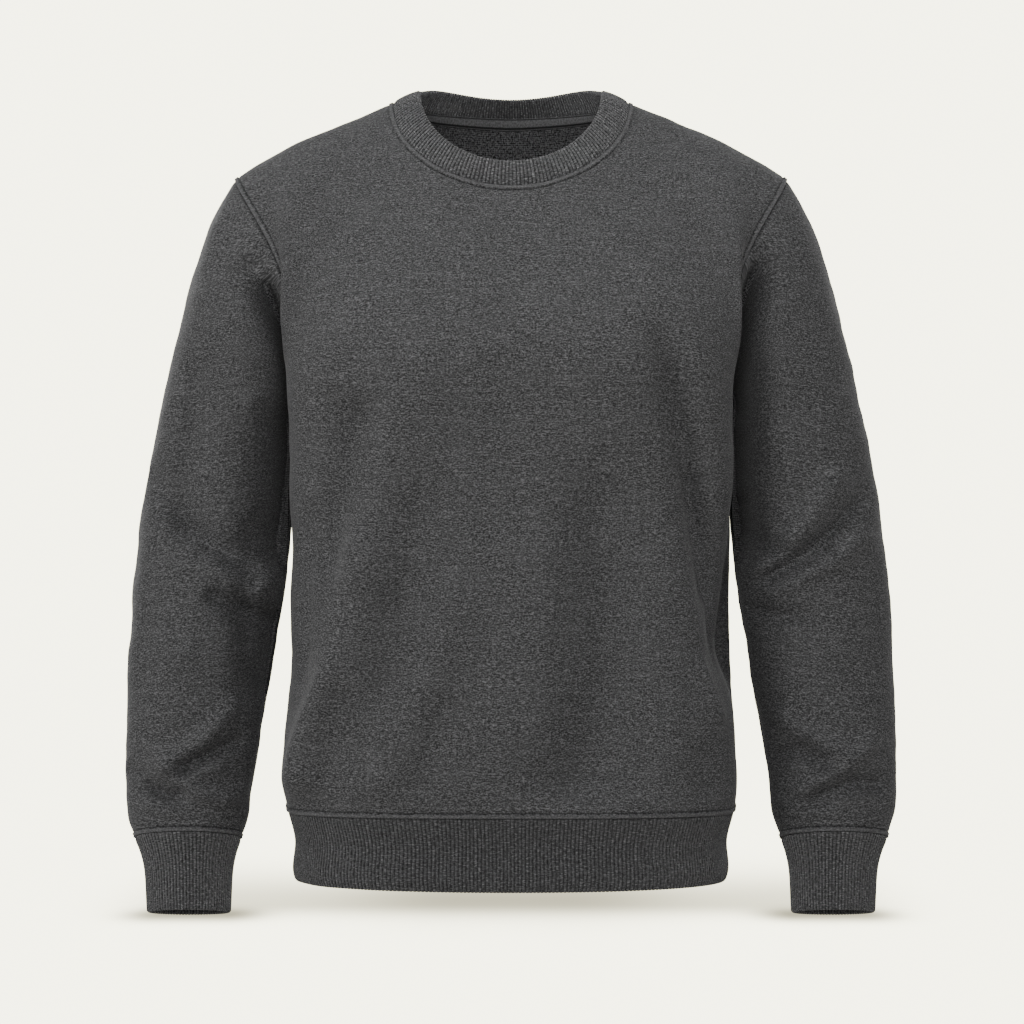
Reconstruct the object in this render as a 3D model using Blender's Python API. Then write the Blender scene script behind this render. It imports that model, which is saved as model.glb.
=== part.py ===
"""Crewneck sweatshirt, filled out as if worn: hollow cloth panels, rib collar, rib cuffs and rib hem.

Units are metres and +Z is up.  The chest faces -Y, and the origin is on the centre line at the height of
the high shoulder points, midway between front and back.  Each panel is a wall of even thickness over a grid
of outer points.  A grid's rows run up the garment (down the sleeves), and its columns run round it.
"""

import bpy
import numpy as np

# ---------------------------------------------------------------- cloth
FLEECE_WALL = 0.0020
RIB_WALL = 0.0028
TAPE_WALL = 0.0008
SEAM_GAP = 0.0003
CUT_LEAN = 2.0                               # a cut edge leans back from its seam by this many half gaps

# ---------------------------------------------------------------- neck and shoulders
NECK_SIDE = (0.1056, 0.005, 0.0005)          # where collar and shoulder seam meet
FRONT_NECK_HEIGHT = -0.0785                  # the neck seam at the centre front and centre back
BACK_NECK_HEIGHT = -0.0074
RIM_SIDE = (0.0822, 0.004, 0.0140)           # top edge of the collar rib
RIM_FRONT = (-0.0735, -0.0560)
RIM_BACK = (0.0625, 0.0110)
NECK_ROUNDNESS = 0.62                        # under 1 runs the seam level over the shoulder
COLLAR_BULGE = 0.0012
SHOULDER_TIP = (0.2485, 0.0, -0.0690)
SHOULDER_SLOPE = 0.43
CREST_ROUNDING = 0.020
SHOULDER_ROLL = 0.150                        # how broadly cloth rolls over the shoulder, and over the neck's
FRONT_NECK_ROLL = 0.150                      # crest at the front and the back
BACK_NECK_ROLL = 0.300
ROLL_LIFT = 0.12                             # how steeply it comes up to that crest
TAPE_ROW = 0.045                             # the tape's width as a share of a back column above the underarm
TAPE_GAP = 0.0012                            # between the tape and the inside of the back
TAPE_TOP = 0.06                              # share of its width by which the tape stops short of the seam

# ---------------------------------------------------------------- body below the underarm
# squareness makes the oval boxy, and side_press is how far the hanging arm dents its side
BODY_COLUMNS = ("height", "half_width", "front_depth", "back_depth", "squareness", "side_press")
BODY_SECTIONS = (
    (-0.6310, 0.2000, 0.1210, 0.1190, 0.13, 0.0000),
    (-0.6150, 0.2015, 0.1245, 0.1220, 0.13, 0.0000),
    (-0.5700, 0.2000, 0.1250, 0.1215, 0.13, 0.0000),
    (-0.5100, 0.1960, 0.1240, 0.1200, 0.14, 0.0000),
    (-0.4500, 0.1942, 0.1240, 0.1190, 0.15, 0.0005),
    (-0.3900, 0.1938, 0.1255, 0.1200, 0.16, 0.0022),
    (-0.3300, 0.1938, 0.1285, 0.1225, 0.18, 0.0042),
    (-0.2620, 0.1945, 0.1300, 0.1250, 0.21, 0.0055),
)
PRESS_REACH = 0.062                          # how far the arm's dent reaches to front and back
UNDERARM_LEAN = 80.0                         # degrees that the panel's edge leans out round the underarm
LEAN_REACH = 0.30                            # share of a panel's width that fans out with it
COLUMN_FULLNESS = 1.05                       # how full the chest and back are above the underarm
EDGE_REACH = 0.34                            # share of the width over which columns bend to the armhole,
EDGE_REACH_ACROSS = 0.13                     # in depth and height, and in width
ARMPIT_FOLD_PLACE = 0.07                     # from the armhole, as a share of the panel's width
ARMPIT_FOLD_WIDTH = 0.060
FRONT_ARMPIT_FOLD = 0.0110
BACK_ARMPIT_FOLD = 0.0080
UNDERARM_HEIGHT = BODY_SECTIONS[-1][0]
HEM_SEAM_HEIGHT = BODY_SECTIONS[0][0]

HEM_SECTIONS = (
    (-0.6950, 0.1915, 0.1110, 0.1090, 0.13, 0.0000),
    (-0.6920, 0.1925, 0.1120, 0.1100, 0.13, 0.0000),
    (-0.6560, 0.1930, 0.1135, 0.1110, 0.13, 0.0000),
    (-0.6310, 0.1990, 0.1200, 0.1180, 0.13, 0.0000),
)
HEM_FRONT_DROP = 0.0050                      # the waistband hangs lower at the centre front and back
HEM_RIBS = 190
HEM_RIB_SHARES = (0.3, 1.0, 1.0, 0.3)        # how far the ribs stand out at each section
HEM_INNER_ROWS = [0, 2, 3]                   # the sections that the plain inside needs

# ---------------------------------------------------------------- sleeve, +X side
# A section is an oval between its outermost and innermost points.  tilt turns its front up, in degrees, and
# the scoops carry an armhole in over the chest and the back.
SLEEVE_COLUMNS = ("outer_x", "outer_z", "inner_x", "inner_z", "centre_y", "half_depth", "tilt",
                  "front_scoop", "back_scoop")
SLEEVE_SECTIONS = (
    (0.2485, -0.0690, 0.1890, -0.2620, 0.000, 0.0780, 0.0, 0.0190, 0.0120),
    (0.2700, -0.1080, 0.1975, -0.2650, 0.001, 0.0775, 0.0, 0.0110, 0.0070),
    (0.2858, -0.1540, 0.1995, -0.2720, 0.002, 0.0755, 0.0, 0.0050, 0.0030),
    (0.2985, -0.2010, 0.1992, -0.2850, 0.004, 0.0725, 0.0, 0.0010, 0.0010),
    (0.3100, -0.2500, 0.1993, -0.3000, 0.005, 0.0690, 0.0, 0.0000, 0.0000),
    (0.3200, -0.3000, 0.1993, -0.3180, 0.006, 0.0660, 0.0, 0.0000, 0.0000),
    (0.3285, -0.3460, 0.1995, -0.3500, 0.008, 0.0635, 0.0, 0.0000, 0.0000),
    (0.3350, -0.3920, 0.2003, -0.3920, 0.008, 0.0625, 1.0, 0.0000, 0.0000),
    (0.3400, -0.4460, 0.2052, -0.4460, 0.007, 0.0600, 3.0, 0.0000, 0.0000),
    (0.3450, -0.5180, 0.2172, -0.5180, 0.004, 0.0560, 6.0, 0.0000, 0.0000),
    (0.3465, -0.5900, 0.2290, -0.5900, -0.002, 0.0500, 10.0, 0.0000, 0.0000),
    (0.3450, -0.6340, 0.2350, -0.6340, -0.006, 0.0455, 13.0, 0.0000, 0.0000),
    (0.3375, -0.6600, 0.2425, -0.6600, -0.009, 0.0420, 14.0, 0.0000, 0.0000),
)
CUFF_SECTIONS = (
    (0.3372, -0.6600, 0.2428, -0.6600, -0.009, 0.0416, 14.0, 0.0, 0.0),
    (0.3330, -0.6730, 0.2470, -0.6730, -0.010, 0.0350, 13.5, 0.0, 0.0),
    (0.3300, -0.6900, 0.2500, -0.6900, -0.013, 0.0295, 12.5, 0.0, 0.0),
    (0.3285, -0.7215, 0.2515, -0.7215, -0.019, 0.0258, 11.0, 0.0, 0.0),
    (0.3278, -0.7240, 0.2522, -0.7240, -0.0195, 0.0251, 11.0, 0.0, 0.0),
)
CUFF_RIBS = 41
CUFF_RIB_SHARES = (0.3, 1.0, 1.0, 1.0, 0.3)
CUFF_INNER_ROWS = [0, 1, 2, 4]

# ---------------------------------------------------------------- collar rib
COLLAR_LEVELS = (0.0, 0.15, 0.92, 1.0)       # from the neck seam to the rim
COLLAR_RIB_SHARES = (0.0, 1.0, 1.0, 0.3)
COLLAR_INNER_ROWS = [0, 1, 3]
COLLAR_RIM_TURN = 0.0006                     # the folded rim turns in by this much
COLLAR_RIBS_PER_COLUMN = 4
RIB_RAISE = 0.0008

# ---------------------------------------------------------------- folds
# Columns: the fold's course as (x, z) seen from the front, its half width, how far it stands out.
FRONT_FOLDS = (
    (((-0.112, -0.262), (-0.146, -0.383), (-0.163, -0.446), (-0.192, -0.552)), 0.015, 0.0080),
    (((-0.120, -0.455), (-0.137, -0.498), (-0.160, -0.583)), 0.018, -0.0070),
    (((0.122, -0.225), (0.152, -0.346), (0.172, -0.431), (0.184, -0.505)), 0.018, -0.0075),
    (((0.168, -0.470), (0.183, -0.530), (0.192, -0.590)), 0.013, 0.0060),
    (((0.066, -0.370), (0.050, -0.502), (0.026, -0.617)), 0.028, -0.0045),
    (((-0.070, -0.530), (-0.062, -0.610)), 0.018, 0.0040),
)
BACK_FOLDS = (
    (((0.115, -0.250), (0.150, -0.390), (0.170, -0.520)), 0.016, 0.0070),
    (((0.128, -0.440), (0.150, -0.540), (0.166, -0.600)), 0.016, -0.0055),
    (((-0.120, -0.280), (-0.150, -0.430), (-0.165, -0.560)), 0.018, -0.0070),
    (((0.020, -0.350), (-0.010, -0.480), (-0.020, -0.600)), 0.028, -0.0045),
)
RIGHT_SLEEVE_FRONT_FOLDS = (
    (((-0.302, -0.362), (-0.267, -0.392)), 0.016, -0.0050),
    (((-0.275, -0.416), (-0.212, -0.441)), 0.014, 0.0065),
    (((-0.272, -0.437), (-0.228, -0.462)), 0.012, -0.0060),
    (((-0.247, -0.520), (-0.322, -0.604)), 0.015, 0.0065),
    (((-0.297, -0.598), (-0.242, -0.592)), 0.012, -0.0055),
)
LEFT_SLEEVE_FRONT_FOLDS = (
    (((0.282, -0.335), (0.250, -0.397), (0.213, -0.427)), 0.015, 0.0065),
    (((0.312, -0.386), (0.270, -0.397), (0.238, -0.418)), 0.012, -0.0060),
    (((0.239, -0.563), (0.286, -0.586)), 0.013, 0.0055),
    (((0.325, -0.574), (0.262, -0.620)), 0.014, 0.0060),
)
RIGHT_SLEEVE_BACK_FOLDS = (
    (((-0.318, -0.380), (-0.235, -0.405)), 0.015, 0.0060),
    (((-0.310, -0.430), (-0.240, -0.440)), 0.013, -0.0050),
    (((-0.310, -0.555), (-0.245, -0.605)), 0.014, 0.0060),
)
LEFT_SLEEVE_BACK_FOLDS = (
    (((0.235, -0.370), (0.315, -0.410)), 0.015, 0.0060),
    (((0.250, -0.570), (0.325, -0.600)), 0.014, 0.0060),
)
FOLD_FADE = 0.3                              # share of a fold's length over which each end dies away
FOLD_QUIET_EDGE = 0.08                       # no fold runs into a seam: share of a panel's width kept flat,
FOLD_QUIET_HEM = 0.030                       # and the height kept flat above the hem seam

# ---------------------------------------------------------------- grid sizes
SHOULDER_GAPS = 5
NECK_GAPS = 12
PANEL_GAPS = 2 * SHOULDER_GAPS + NECK_GAPS
LOWER_ROWS = 10
UPPER_ROWS = 12
SLEEVE_ROWS = 24

# ---------------------------------------------------------------- finish
CHARCOAL = (0.075, 0.075, 0.077, 1.0)
RIB_CHARCOAL = (0.060, 0.060, 0.062, 1.0)
TAPE_CHARCOAL = (0.045, 0.045, 0.047, 1.0)
CLOTH_ROUGHNESS = 0.95


# ================================================================ curves and tables
def unit(vectors):
    """Vectors scaled to length one."""
    return vectors / np.maximum(np.linalg.norm(vectors, axis=-1, keepdims=True), 1e-12)


def smooth_step(value):
    """0 below 0, 1 above 1, and a soft S between."""
    clipped = np.clip(value, 0.0, 1.0)
    return clipped * clipped * (3.0 - 2.0 * clipped)


def curve_between(start, leave, end, arrive, part):
    """A cubic from start to end, with its directions at the two ends.  part runs from 0 to 1."""
    return ((2 * part ** 3 - 3 * part ** 2 + 1) * start + (part ** 3 - 2 * part ** 2 + part) * leave
            + (3 * part ** 2 - 2 * part ** 3) * end + (part ** 3 - part ** 2) * arrive)


def columns_of(names, section):
    """A section's values, or whole arrays of them, under their column names."""
    return dict(zip(names, np.moveaxis(np.asarray(section, dtype=float), -1, 0)))


def table_at(rows, where, key=None):
    """Table rows read at fractional places, on a smooth curve through every column."""
    table = np.array(rows, dtype=float)
    keys = np.arange(len(table)) if key is None else table[:, key]
    slopes = np.gradient(table, keys, axis=0)
    where = np.asarray(where, dtype=float)
    below = np.clip(np.searchsorted(keys, where, side="right") - 1, 0, len(keys) - 2)
    step = (keys[below + 1] - keys[below])[..., None]
    part = ((where - keys[below]) / step[..., 0])[..., None]
    return curve_between(table[below], step * slopes[below], table[below + 1], step * slopes[below + 1], part)


def even_along(curve, places):
    """Points at given shares of a curve's length."""
    lengths = np.concatenate(([0.0], np.cumsum(np.linalg.norm(np.diff(curve, axis=0), axis=1))))
    wanted = np.asarray(places) * lengths[-1]
    return np.stack([np.interp(wanted, lengths, curve[:, axis]) for axis in range(3)], axis=1)


def half_ring(side, middle, roundness, count):
    """From the -X side point to the +X one, by the centre front or centre back point."""
    angle = np.linspace(0.0, np.pi, 400)
    bow = np.sin(angle)
    across = -side[0] * np.cos(angle)
    depth = side[1] + (middle[0] - side[1]) * bow ** roundness
    height = side[2] + (middle[1] - side[2]) * bow
    return even_along(np.stack([across, depth, height], axis=1), np.linspace(0.0, 1.0, count + 1))


def body_ring(section, angle, back):
    """Points of a body section: a boxy oval whose side the arm dents.

    angle runs from 0 at one side seam to a half turn at the other.
    """
    row = columns_of(BODY_COLUMNS, section)
    corner = 1.0 + row["squareness"] * np.sin(2.0 * angle) ** 2
    depth = row["back_depth" if back else "front_depth"] * np.sin(angle) * corner
    dent = row["side_press"] * np.exp(-(depth / PRESS_REACH) ** 2)
    across = row["half_width"] * np.cos(angle) * corner - np.sign(np.cos(angle)) * dent
    facing = 1.0 if back else -1.0
    return np.stack([facing * across, facing * depth, row["height"] + 0.0 * angle], axis=-1)


def shoulder_height(across):
    """Height of the shoulder seam, carried on over the neck as a smooth crest."""
    outward = np.hypot(across, CREST_ROUNDING)
    start = np.hypot(NECK_SIDE[0], CREST_ROUNDING)
    end = np.hypot(SHOULDER_TIP[0], CREST_ROUNDING)
    share = np.clip((outward - start) / (end - start), 0.0, 2.0)
    droop = SHOULDER_TIP[2] - (NECK_SIDE[2] - SHOULDER_SLOPE * (end - start))
    return NECK_SIDE[2] - SHOULDER_SLOPE * (outward - start) + droop * share ** 6


def sleeve_axes(section):
    """Centre of a sleeve section, and its half axes toward the outermost point and toward the front."""
    row = columns_of(SLEEVE_COLUMNS, section)
    centre = np.stack([(row["outer_x"] + row["inner_x"]) / 2, row["centre_y"],
                       (row["outer_z"] + row["inner_z"]) / 2], axis=-1)
    outward = np.stack([(row["outer_x"] - row["inner_x"]) / 2, np.zeros_like(row["tilt"]),
                        (row["outer_z"] - row["inner_z"]) / 2], axis=-1)
    lift = np.radians(row["tilt"])
    forward = np.stack([np.zeros_like(lift), -np.cos(lift), np.sin(lift)], axis=-1)
    return centre, outward, forward * row["half_depth"][..., None]


def sleeve_ring(section, angle):
    """Points of a sleeve section on the +X side: 0 is outermost, a quarter turn is the front."""
    row = columns_of(SLEEVE_COLUMNS, section)
    centre, outward, forward = sleeve_axes(section)
    swing = np.sin(angle)
    scoop = np.where(swing > 0, row["front_scoop"], row["back_scoop"]) * np.abs(swing) ** 3
    ring = centre + outward * np.cos(angle)[..., None] + forward * swing[..., None]
    return ring - np.stack([scoop, 0.0 * scoop, 0.0 * scoop], axis=-1)


def ring_axis(section):
    """The direction square to a sleeve section's plane, toward the hand."""
    _, outward, forward = sleeve_axes(section)
    return unit(np.cross(outward, forward))


def armhole(rise, back):
    """The armhole seam on the +X side, round the front or the back: 0 is the underarm, 1 the shoulder tip."""
    turn = np.pi * (1.0 - rise)
    section = np.array(SLEEVE_SECTIONS[0]) + np.zeros(turn.shape + (1,))
    return sleeve_ring(section, -turn if back else turn)


def fold_relief(points, folds):
    """How far the folds stand out at each point, from its x and z."""
    relief = np.zeros(points.shape[:-1])
    place = points[..., (0, 2)]
    for course, half_width, raise_by in folds:
        course = np.array(course)
        spans = np.diff(course, axis=0)
        lengths = np.linalg.norm(spans, axis=1)
        passed = np.concatenate(([0.0], np.cumsum(lengths)))
        best = np.full(relief.shape, np.inf)
        along = np.zeros(relief.shape)
        for index, span in enumerate(spans):
            offset = place - course[index]
            share = np.clip((offset @ span) / lengths[index] ** 2, 0.0, 1.0)
            distance = np.linalg.norm(offset - share[..., None] * span, axis=-1)
            nearer = distance < best
            along = np.where(nearer, (passed[index] + share * lengths[index]) / passed[-1], along)
            best = np.where(nearer, distance, best)
        fade = smooth_step(along / FOLD_FADE) * smooth_step((1.0 - along) / FOLD_FADE)
        relief += raise_by * fade * np.exp(-(best / half_width) ** 2)
    return relief


# ================================================================ outer surfaces
def draped_columns(share, rise, back):
    """Curves from the underarm level up to the shoulder crest, before they meet the armholes.

    share is -1 and 1 at the panel's two edges.  rise is 0 level with the underarm and 1 on the shoulder seam,
    which is carried on across the neck, so that the neck edge is cut from one smooth surface.
    """
    facing = 1.0 if back else -1.0
    section = np.array(BODY_SECTIONS[-1]) + np.zeros(share.shape + (1,))
    start = body_ring(section, 0.5 * np.pi * (1.0 + share), back)
    across = -facing * SHOULDER_TIP[0] * share
    crest_depth = SHOULDER_TIP[1] + (NECK_SIDE[1] - SHOULDER_TIP[1]) * (1.0 - share ** 2)
    top = np.stack([across, crest_depth, shoulder_height(across)], axis=-1)
    gain = np.linalg.norm(top - start, axis=-1)
    from_edge = 0.5 * (1.0 - np.abs(share))
    lean = np.radians(UNDERARM_LEAN) * smooth_step(1.0 - from_edge / LEAN_REACH) ** 1.5
    leave = np.stack([0.0 * lean, facing * np.sin(lean), np.cos(lean)], axis=-1)
    leave = leave * (COLUMN_FULLNESS * gain)[..., None]
    neck_roll = BACK_NECK_ROLL if back else FRONT_NECK_ROLL
    roll = SHOULDER_ROLL + (neck_roll - SHOULDER_ROLL) * smooth_step(2.0 * from_edge)
    arrive = np.stack([0.0 * roll, -facing * roll, ROLL_LIFT * roll], axis=-1)
    return curve_between(start, leave, top, arrive, rise[..., None])


def upper_panel(share, rise, back):
    """The front or back above the underarm: the draped columns, bent onto the armhole seams."""
    facing = 1.0 if back else -1.0
    points = draped_columns(share, rise, back)
    edge = np.where(share < 0.0, -1.0, 1.0)
    side = -facing * edge
    mirror = np.stack([side, np.ones_like(side), np.ones_like(side)], axis=-1)
    off_edge = armhole(rise, back) * mirror - draped_columns(edge, rise, back)
    from_edge = 0.5 * (1.0 - np.abs(share))
    reach = np.array([EDGE_REACH_ACROSS, EDGE_REACH, EDGE_REACH])
    points = points + off_edge * smooth_step(1.0 - from_edge[..., None] / reach)

    # the soft fold of cloth beside the armhole stands out sideways, over the arm
    fold = np.exp(-((from_edge - ARMPIT_FOLD_PLACE) / ARMPIT_FOLD_WIDTH) ** 2) * smooth_step(from_edge / 0.03)
    fold = fold * smooth_step(rise / 0.35) * smooth_step((1.0 - rise) / 0.45)
    points[..., 0] += (BACK_ARMPIT_FOLD if back else FRONT_ARMPIT_FOLD) * fold * side
    return points


def neck_cut(share, back):
    """How far up each column the neck edge cuts it, an oval seen from the front."""
    drop = NECK_SIDE[2] - (BACK_NECK_HEIGHT if back else FRONT_NECK_HEIGHT)
    tries = np.linspace(0.3, 1.0, 701)
    points = upper_panel(share[:, None] + 0.0 * tries, tries + 0.0 * share[:, None], back)
    height = (NECK_SIDE[2] - points[..., 2]) / drop
    inside = (points[..., 0] / NECK_SIDE[0]) ** 2 + height ** 2 * np.sign(height) < 1.0
    first = np.argmax(inside, axis=1)
    return np.where(inside.any(axis=1), tries[first], 1.0)


def panel_surface(back, folds):
    """Outer points and normals of the front or back: rows from the hem seam up, columns across."""
    shoulder = np.linspace(1.0, NECK_SIDE[0] / SHOULDER_TIP[0], SHOULDER_GAPS + 1)
    neck = NECK_SIDE[0] / SHOULDER_TIP[0] * np.cos(np.linspace(0.0, np.pi, NECK_GAPS + 1))
    share = np.concatenate([-shoulder, -neck[1:-1], shoulder[::-1]])
    heights = np.linspace(HEM_SEAM_HEIGHT, UNDERARM_HEIGHT, LOWER_ROWS + 1)
    sections = table_at(BODY_SECTIONS, heights, key=0)[:, None, :] + np.zeros((1, len(share), 1))
    lower = body_ring(sections, 0.5 * np.pi * (1.0 + share) + 0.0 * heights[:, None], back)

    cut = np.ones_like(share)
    inner_columns = slice(SHOULDER_GAPS + 1, SHOULDER_GAPS + NECK_GAPS)
    cut[inner_columns] = neck_cut(share[inner_columns], back)
    rise = np.linspace(0.0, 1.0, UPPER_ROWS + 1)
    if back:
        rise = np.append(np.linspace(0.0, 1.0 - TAPE_ROW, UPPER_ROWS), 1.0)
    rise = rise[:, None] * cut[None, :]
    rise[:, (0, -1)] = np.linspace(0.0, 1.0, UPPER_ROWS + 1)[:, None]
    across = share[None, :] + 0.0 * rise
    upper = upper_panel(across, rise, back)
    points = np.concatenate([lower, upper[1:]])

    # normals come from the smooth surface, since columns run aslant to the neck edge
    nudge = 0.004
    across_in = across * (1.0 - nudge)
    side_step = (upper_panel(across_in + nudge, rise, back) - upper_panel(across_in - nudge, rise, back))
    up_step = upper_panel(across, rise + nudge, back) - upper_panel(across, rise - nudge, back)
    normals = grid_normals(points)
    normals[LOWER_ROWS + 1:, 1:-1] = unit(np.cross(side_step, up_step))[1:, 1:-1]

    from_edge = 0.5 * (1.0 - np.abs(share))
    quiet = smooth_step(from_edge / FOLD_QUIET_EDGE)[None, :]
    quiet = quiet * smooth_step((points[..., 2] - HEM_SEAM_HEIGHT) / FOLD_QUIET_HEM)
    relief = fold_relief(points, folds) * quiet
    return points + normals * relief[..., None], normals


def sleeve_surface(front_folds, back_folds, side):
    """Outer points of a sleeve: rows from the armhole down, columns round it from the outermost line."""
    places = np.linspace(0.0, len(SLEEVE_SECTIONS) - 1, SLEEVE_ROWS + 1)
    turn = np.linspace(0.0, 2.0 * np.pi, 2 * UPPER_ROWS + 1)[:-1]
    sections = table_at(SLEEVE_SECTIONS, places)[:, None, :]
    angle = turn[None, :] + np.zeros((len(places), 1))
    points = sleeve_ring(sections + np.zeros((1, len(turn), 1)), angle)
    normals = grid_normals(points, closed=True)
    seen = points * np.array([side, 1.0, 1.0])
    facing_front = smooth_step(0.5 - normals[..., 1] * 1.2)
    relief = fold_relief(seen, front_folds) * facing_front
    relief = relief + fold_relief(seen, back_folds) * (1.0 - facing_front)
    ends = smooth_step(places / 2.0) * smooth_step((places[-1] - places) / 1.0)
    return points + normals * (relief * ends[:, None])[..., None]


def grid_normals(points, closed=False):
    """Outward normals of a grid, as the cross product of its column and row directions."""
    if closed:
        round_step = np.roll(points, -1, axis=1) - np.roll(points, 1, axis=1)
    else:
        round_step = np.gradient(points, axis=1)
    row_step = np.gradient(points, axis=0)
    return unit(np.cross(round_step, row_step))


# ================================================================ seams
def part_edges(points, shared_normals, inside_points, closed=False):
    """Edge points moved half a seam gap into their own piece, square to the shared normal and the seam."""
    along = np.gradient(points, axis=0)
    if closed:
        along = np.roll(points, -1, axis=0) - np.roll(points, 1, axis=0)
    across = unit(np.cross(shared_normals, along))
    toward = np.sign(np.sum(across * (inside_points - points), axis=1, keepdims=True))
    return across * toward * (SEAM_GAP / 2)


# ================================================================ solids
def grid_faces(rows, columns, closed, start, flip):
    """Quads of a grid whose points begin at index start, the first and last of an open row cut on a slant.

    The slant runs down from the edge, so that no face bridges the bend beside an armhole.
    """
    row = np.arange(rows - 1)[:, None]
    column = np.arange(columns if closed else columns - 1)[None, :]
    following = (column + 1) % columns
    corners = [row * columns + column, row * columns + following, (row + 1) * columns + following,
               (row + 1) * columns + column]
    quads = np.stack([corner + start for corner in corners], axis=-1)
    faces = quads.reshape(-1, 4).tolist()
    if not closed:
        faces = quads[:, 1:-1].reshape(-1, 4).tolist()
        faces += quads[:, 0][:, (3, 0, 1)].tolist() + quads[:, 0][:, (3, 1, 2)].tolist()
        faces += quads[:, -1][:, (2, 3, 0)].tolist() + quads[:, -1][:, (2, 0, 1)].tolist()
    return [face[::-1] for face in faces] if flip else faces


def rim_faces(outer, inner, closed, flip):
    """Quads between two equally long lines of point indexes."""
    outer = np.append(outer, outer[0]) if closed else outer
    inner = np.append(inner, inner[0]) if closed else inner
    quads = np.stack([outer[:-1], inner[:-1], inner[1:], outer[1:]], axis=-1)
    return (quads[:, ::-1] if flip else quads).tolist()


def wall_mesh(outer, inner, closed, flip=False):
    """Points and faces of the closed wall between two grids of the same size."""
    rows, columns = outer.shape[:2]
    count = rows * columns
    index = np.arange(count).reshape(rows, columns)
    faces = grid_faces(rows, columns, closed, 0, flip) + grid_faces(rows, columns, closed, count, not flip)
    faces += rim_faces(index[0], index[0] + count, closed, flip)
    faces += rim_faces(index[-1], index[-1] + count, closed, not flip)
    if not closed:
        faces += rim_faces(index[:, 0], index[:, 0] + count, False, not flip)
        faces += rim_faces(index[:, -1], index[:, -1] + count, False, flip)
    return np.concatenate([outer.reshape(-1, 3), inner.reshape(-1, 3)]), faces


def ribbed_mesh(outer, inner, flip=False):
    """A closed tube whose outer grid has a whole number of columns for each inner column."""
    outer_rows, outer_columns = outer.shape[:2]
    inner_rows, inner_columns = inner.shape[:2]
    per_inner = outer_columns // inner_columns
    count = outer_rows * outer_columns
    faces = grid_faces(outer_rows, outer_columns, True, 0, flip)
    faces += grid_faces(inner_rows, inner_columns, True, count, not flip)
    for outer_row, inner_row, turned in ((0, 0, flip), (outer_rows - 1, inner_rows - 1, not flip)):
        for column in range(inner_columns):
            first = count + inner_row * inner_columns + column
            second = count + inner_row * inner_columns + (column + 1) % inner_columns
            fan = [outer_row * outer_columns + (column * per_inner + step) % outer_columns
                   for step in range(per_inner + 1)]
            middle = per_inner // 2
            rim = [(fan[step], first, fan[step + 1]) for step in range(middle)]
            rim.append((fan[middle], first, second))
            rim += [(fan[step], second, fan[step + 1]) for step in range(middle, per_inner)]
            faces += [face[::-1] if turned else face for face in rim]
    return np.concatenate([outer.reshape(-1, 3), inner.reshape(-1, 3)]), faces


# ================================================================ Blender objects
def cloth_material(name, colour):
    """A dull cloth material."""
    material = bpy.data.materials.new(name)
    material.use_nodes = True
    shader = material.node_tree.nodes["Principled BSDF"]
    shader.inputs["Base Color"].default_value = colour
    shader.inputs["Roughness"].default_value = CLOTH_ROUGHNESS
    shader.inputs["Metallic"].default_value = 0.0
    return material


def add_piece(name, mesh_data, colour):
    """One named object with its own material."""
    points, faces = mesh_data
    mesh = bpy.data.meshes.new(name)
    mesh.from_pydata(points.tolist(), [], faces)
    mesh.update()
    mesh.polygons.foreach_set("use_smooth", [True] * len(mesh.polygons))
    mesh.materials.append(cloth_material(name, colour))
    piece = bpy.data.objects.new(name, mesh)
    bpy.context.scene.collection.objects.link(piece)
    return piece


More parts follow.
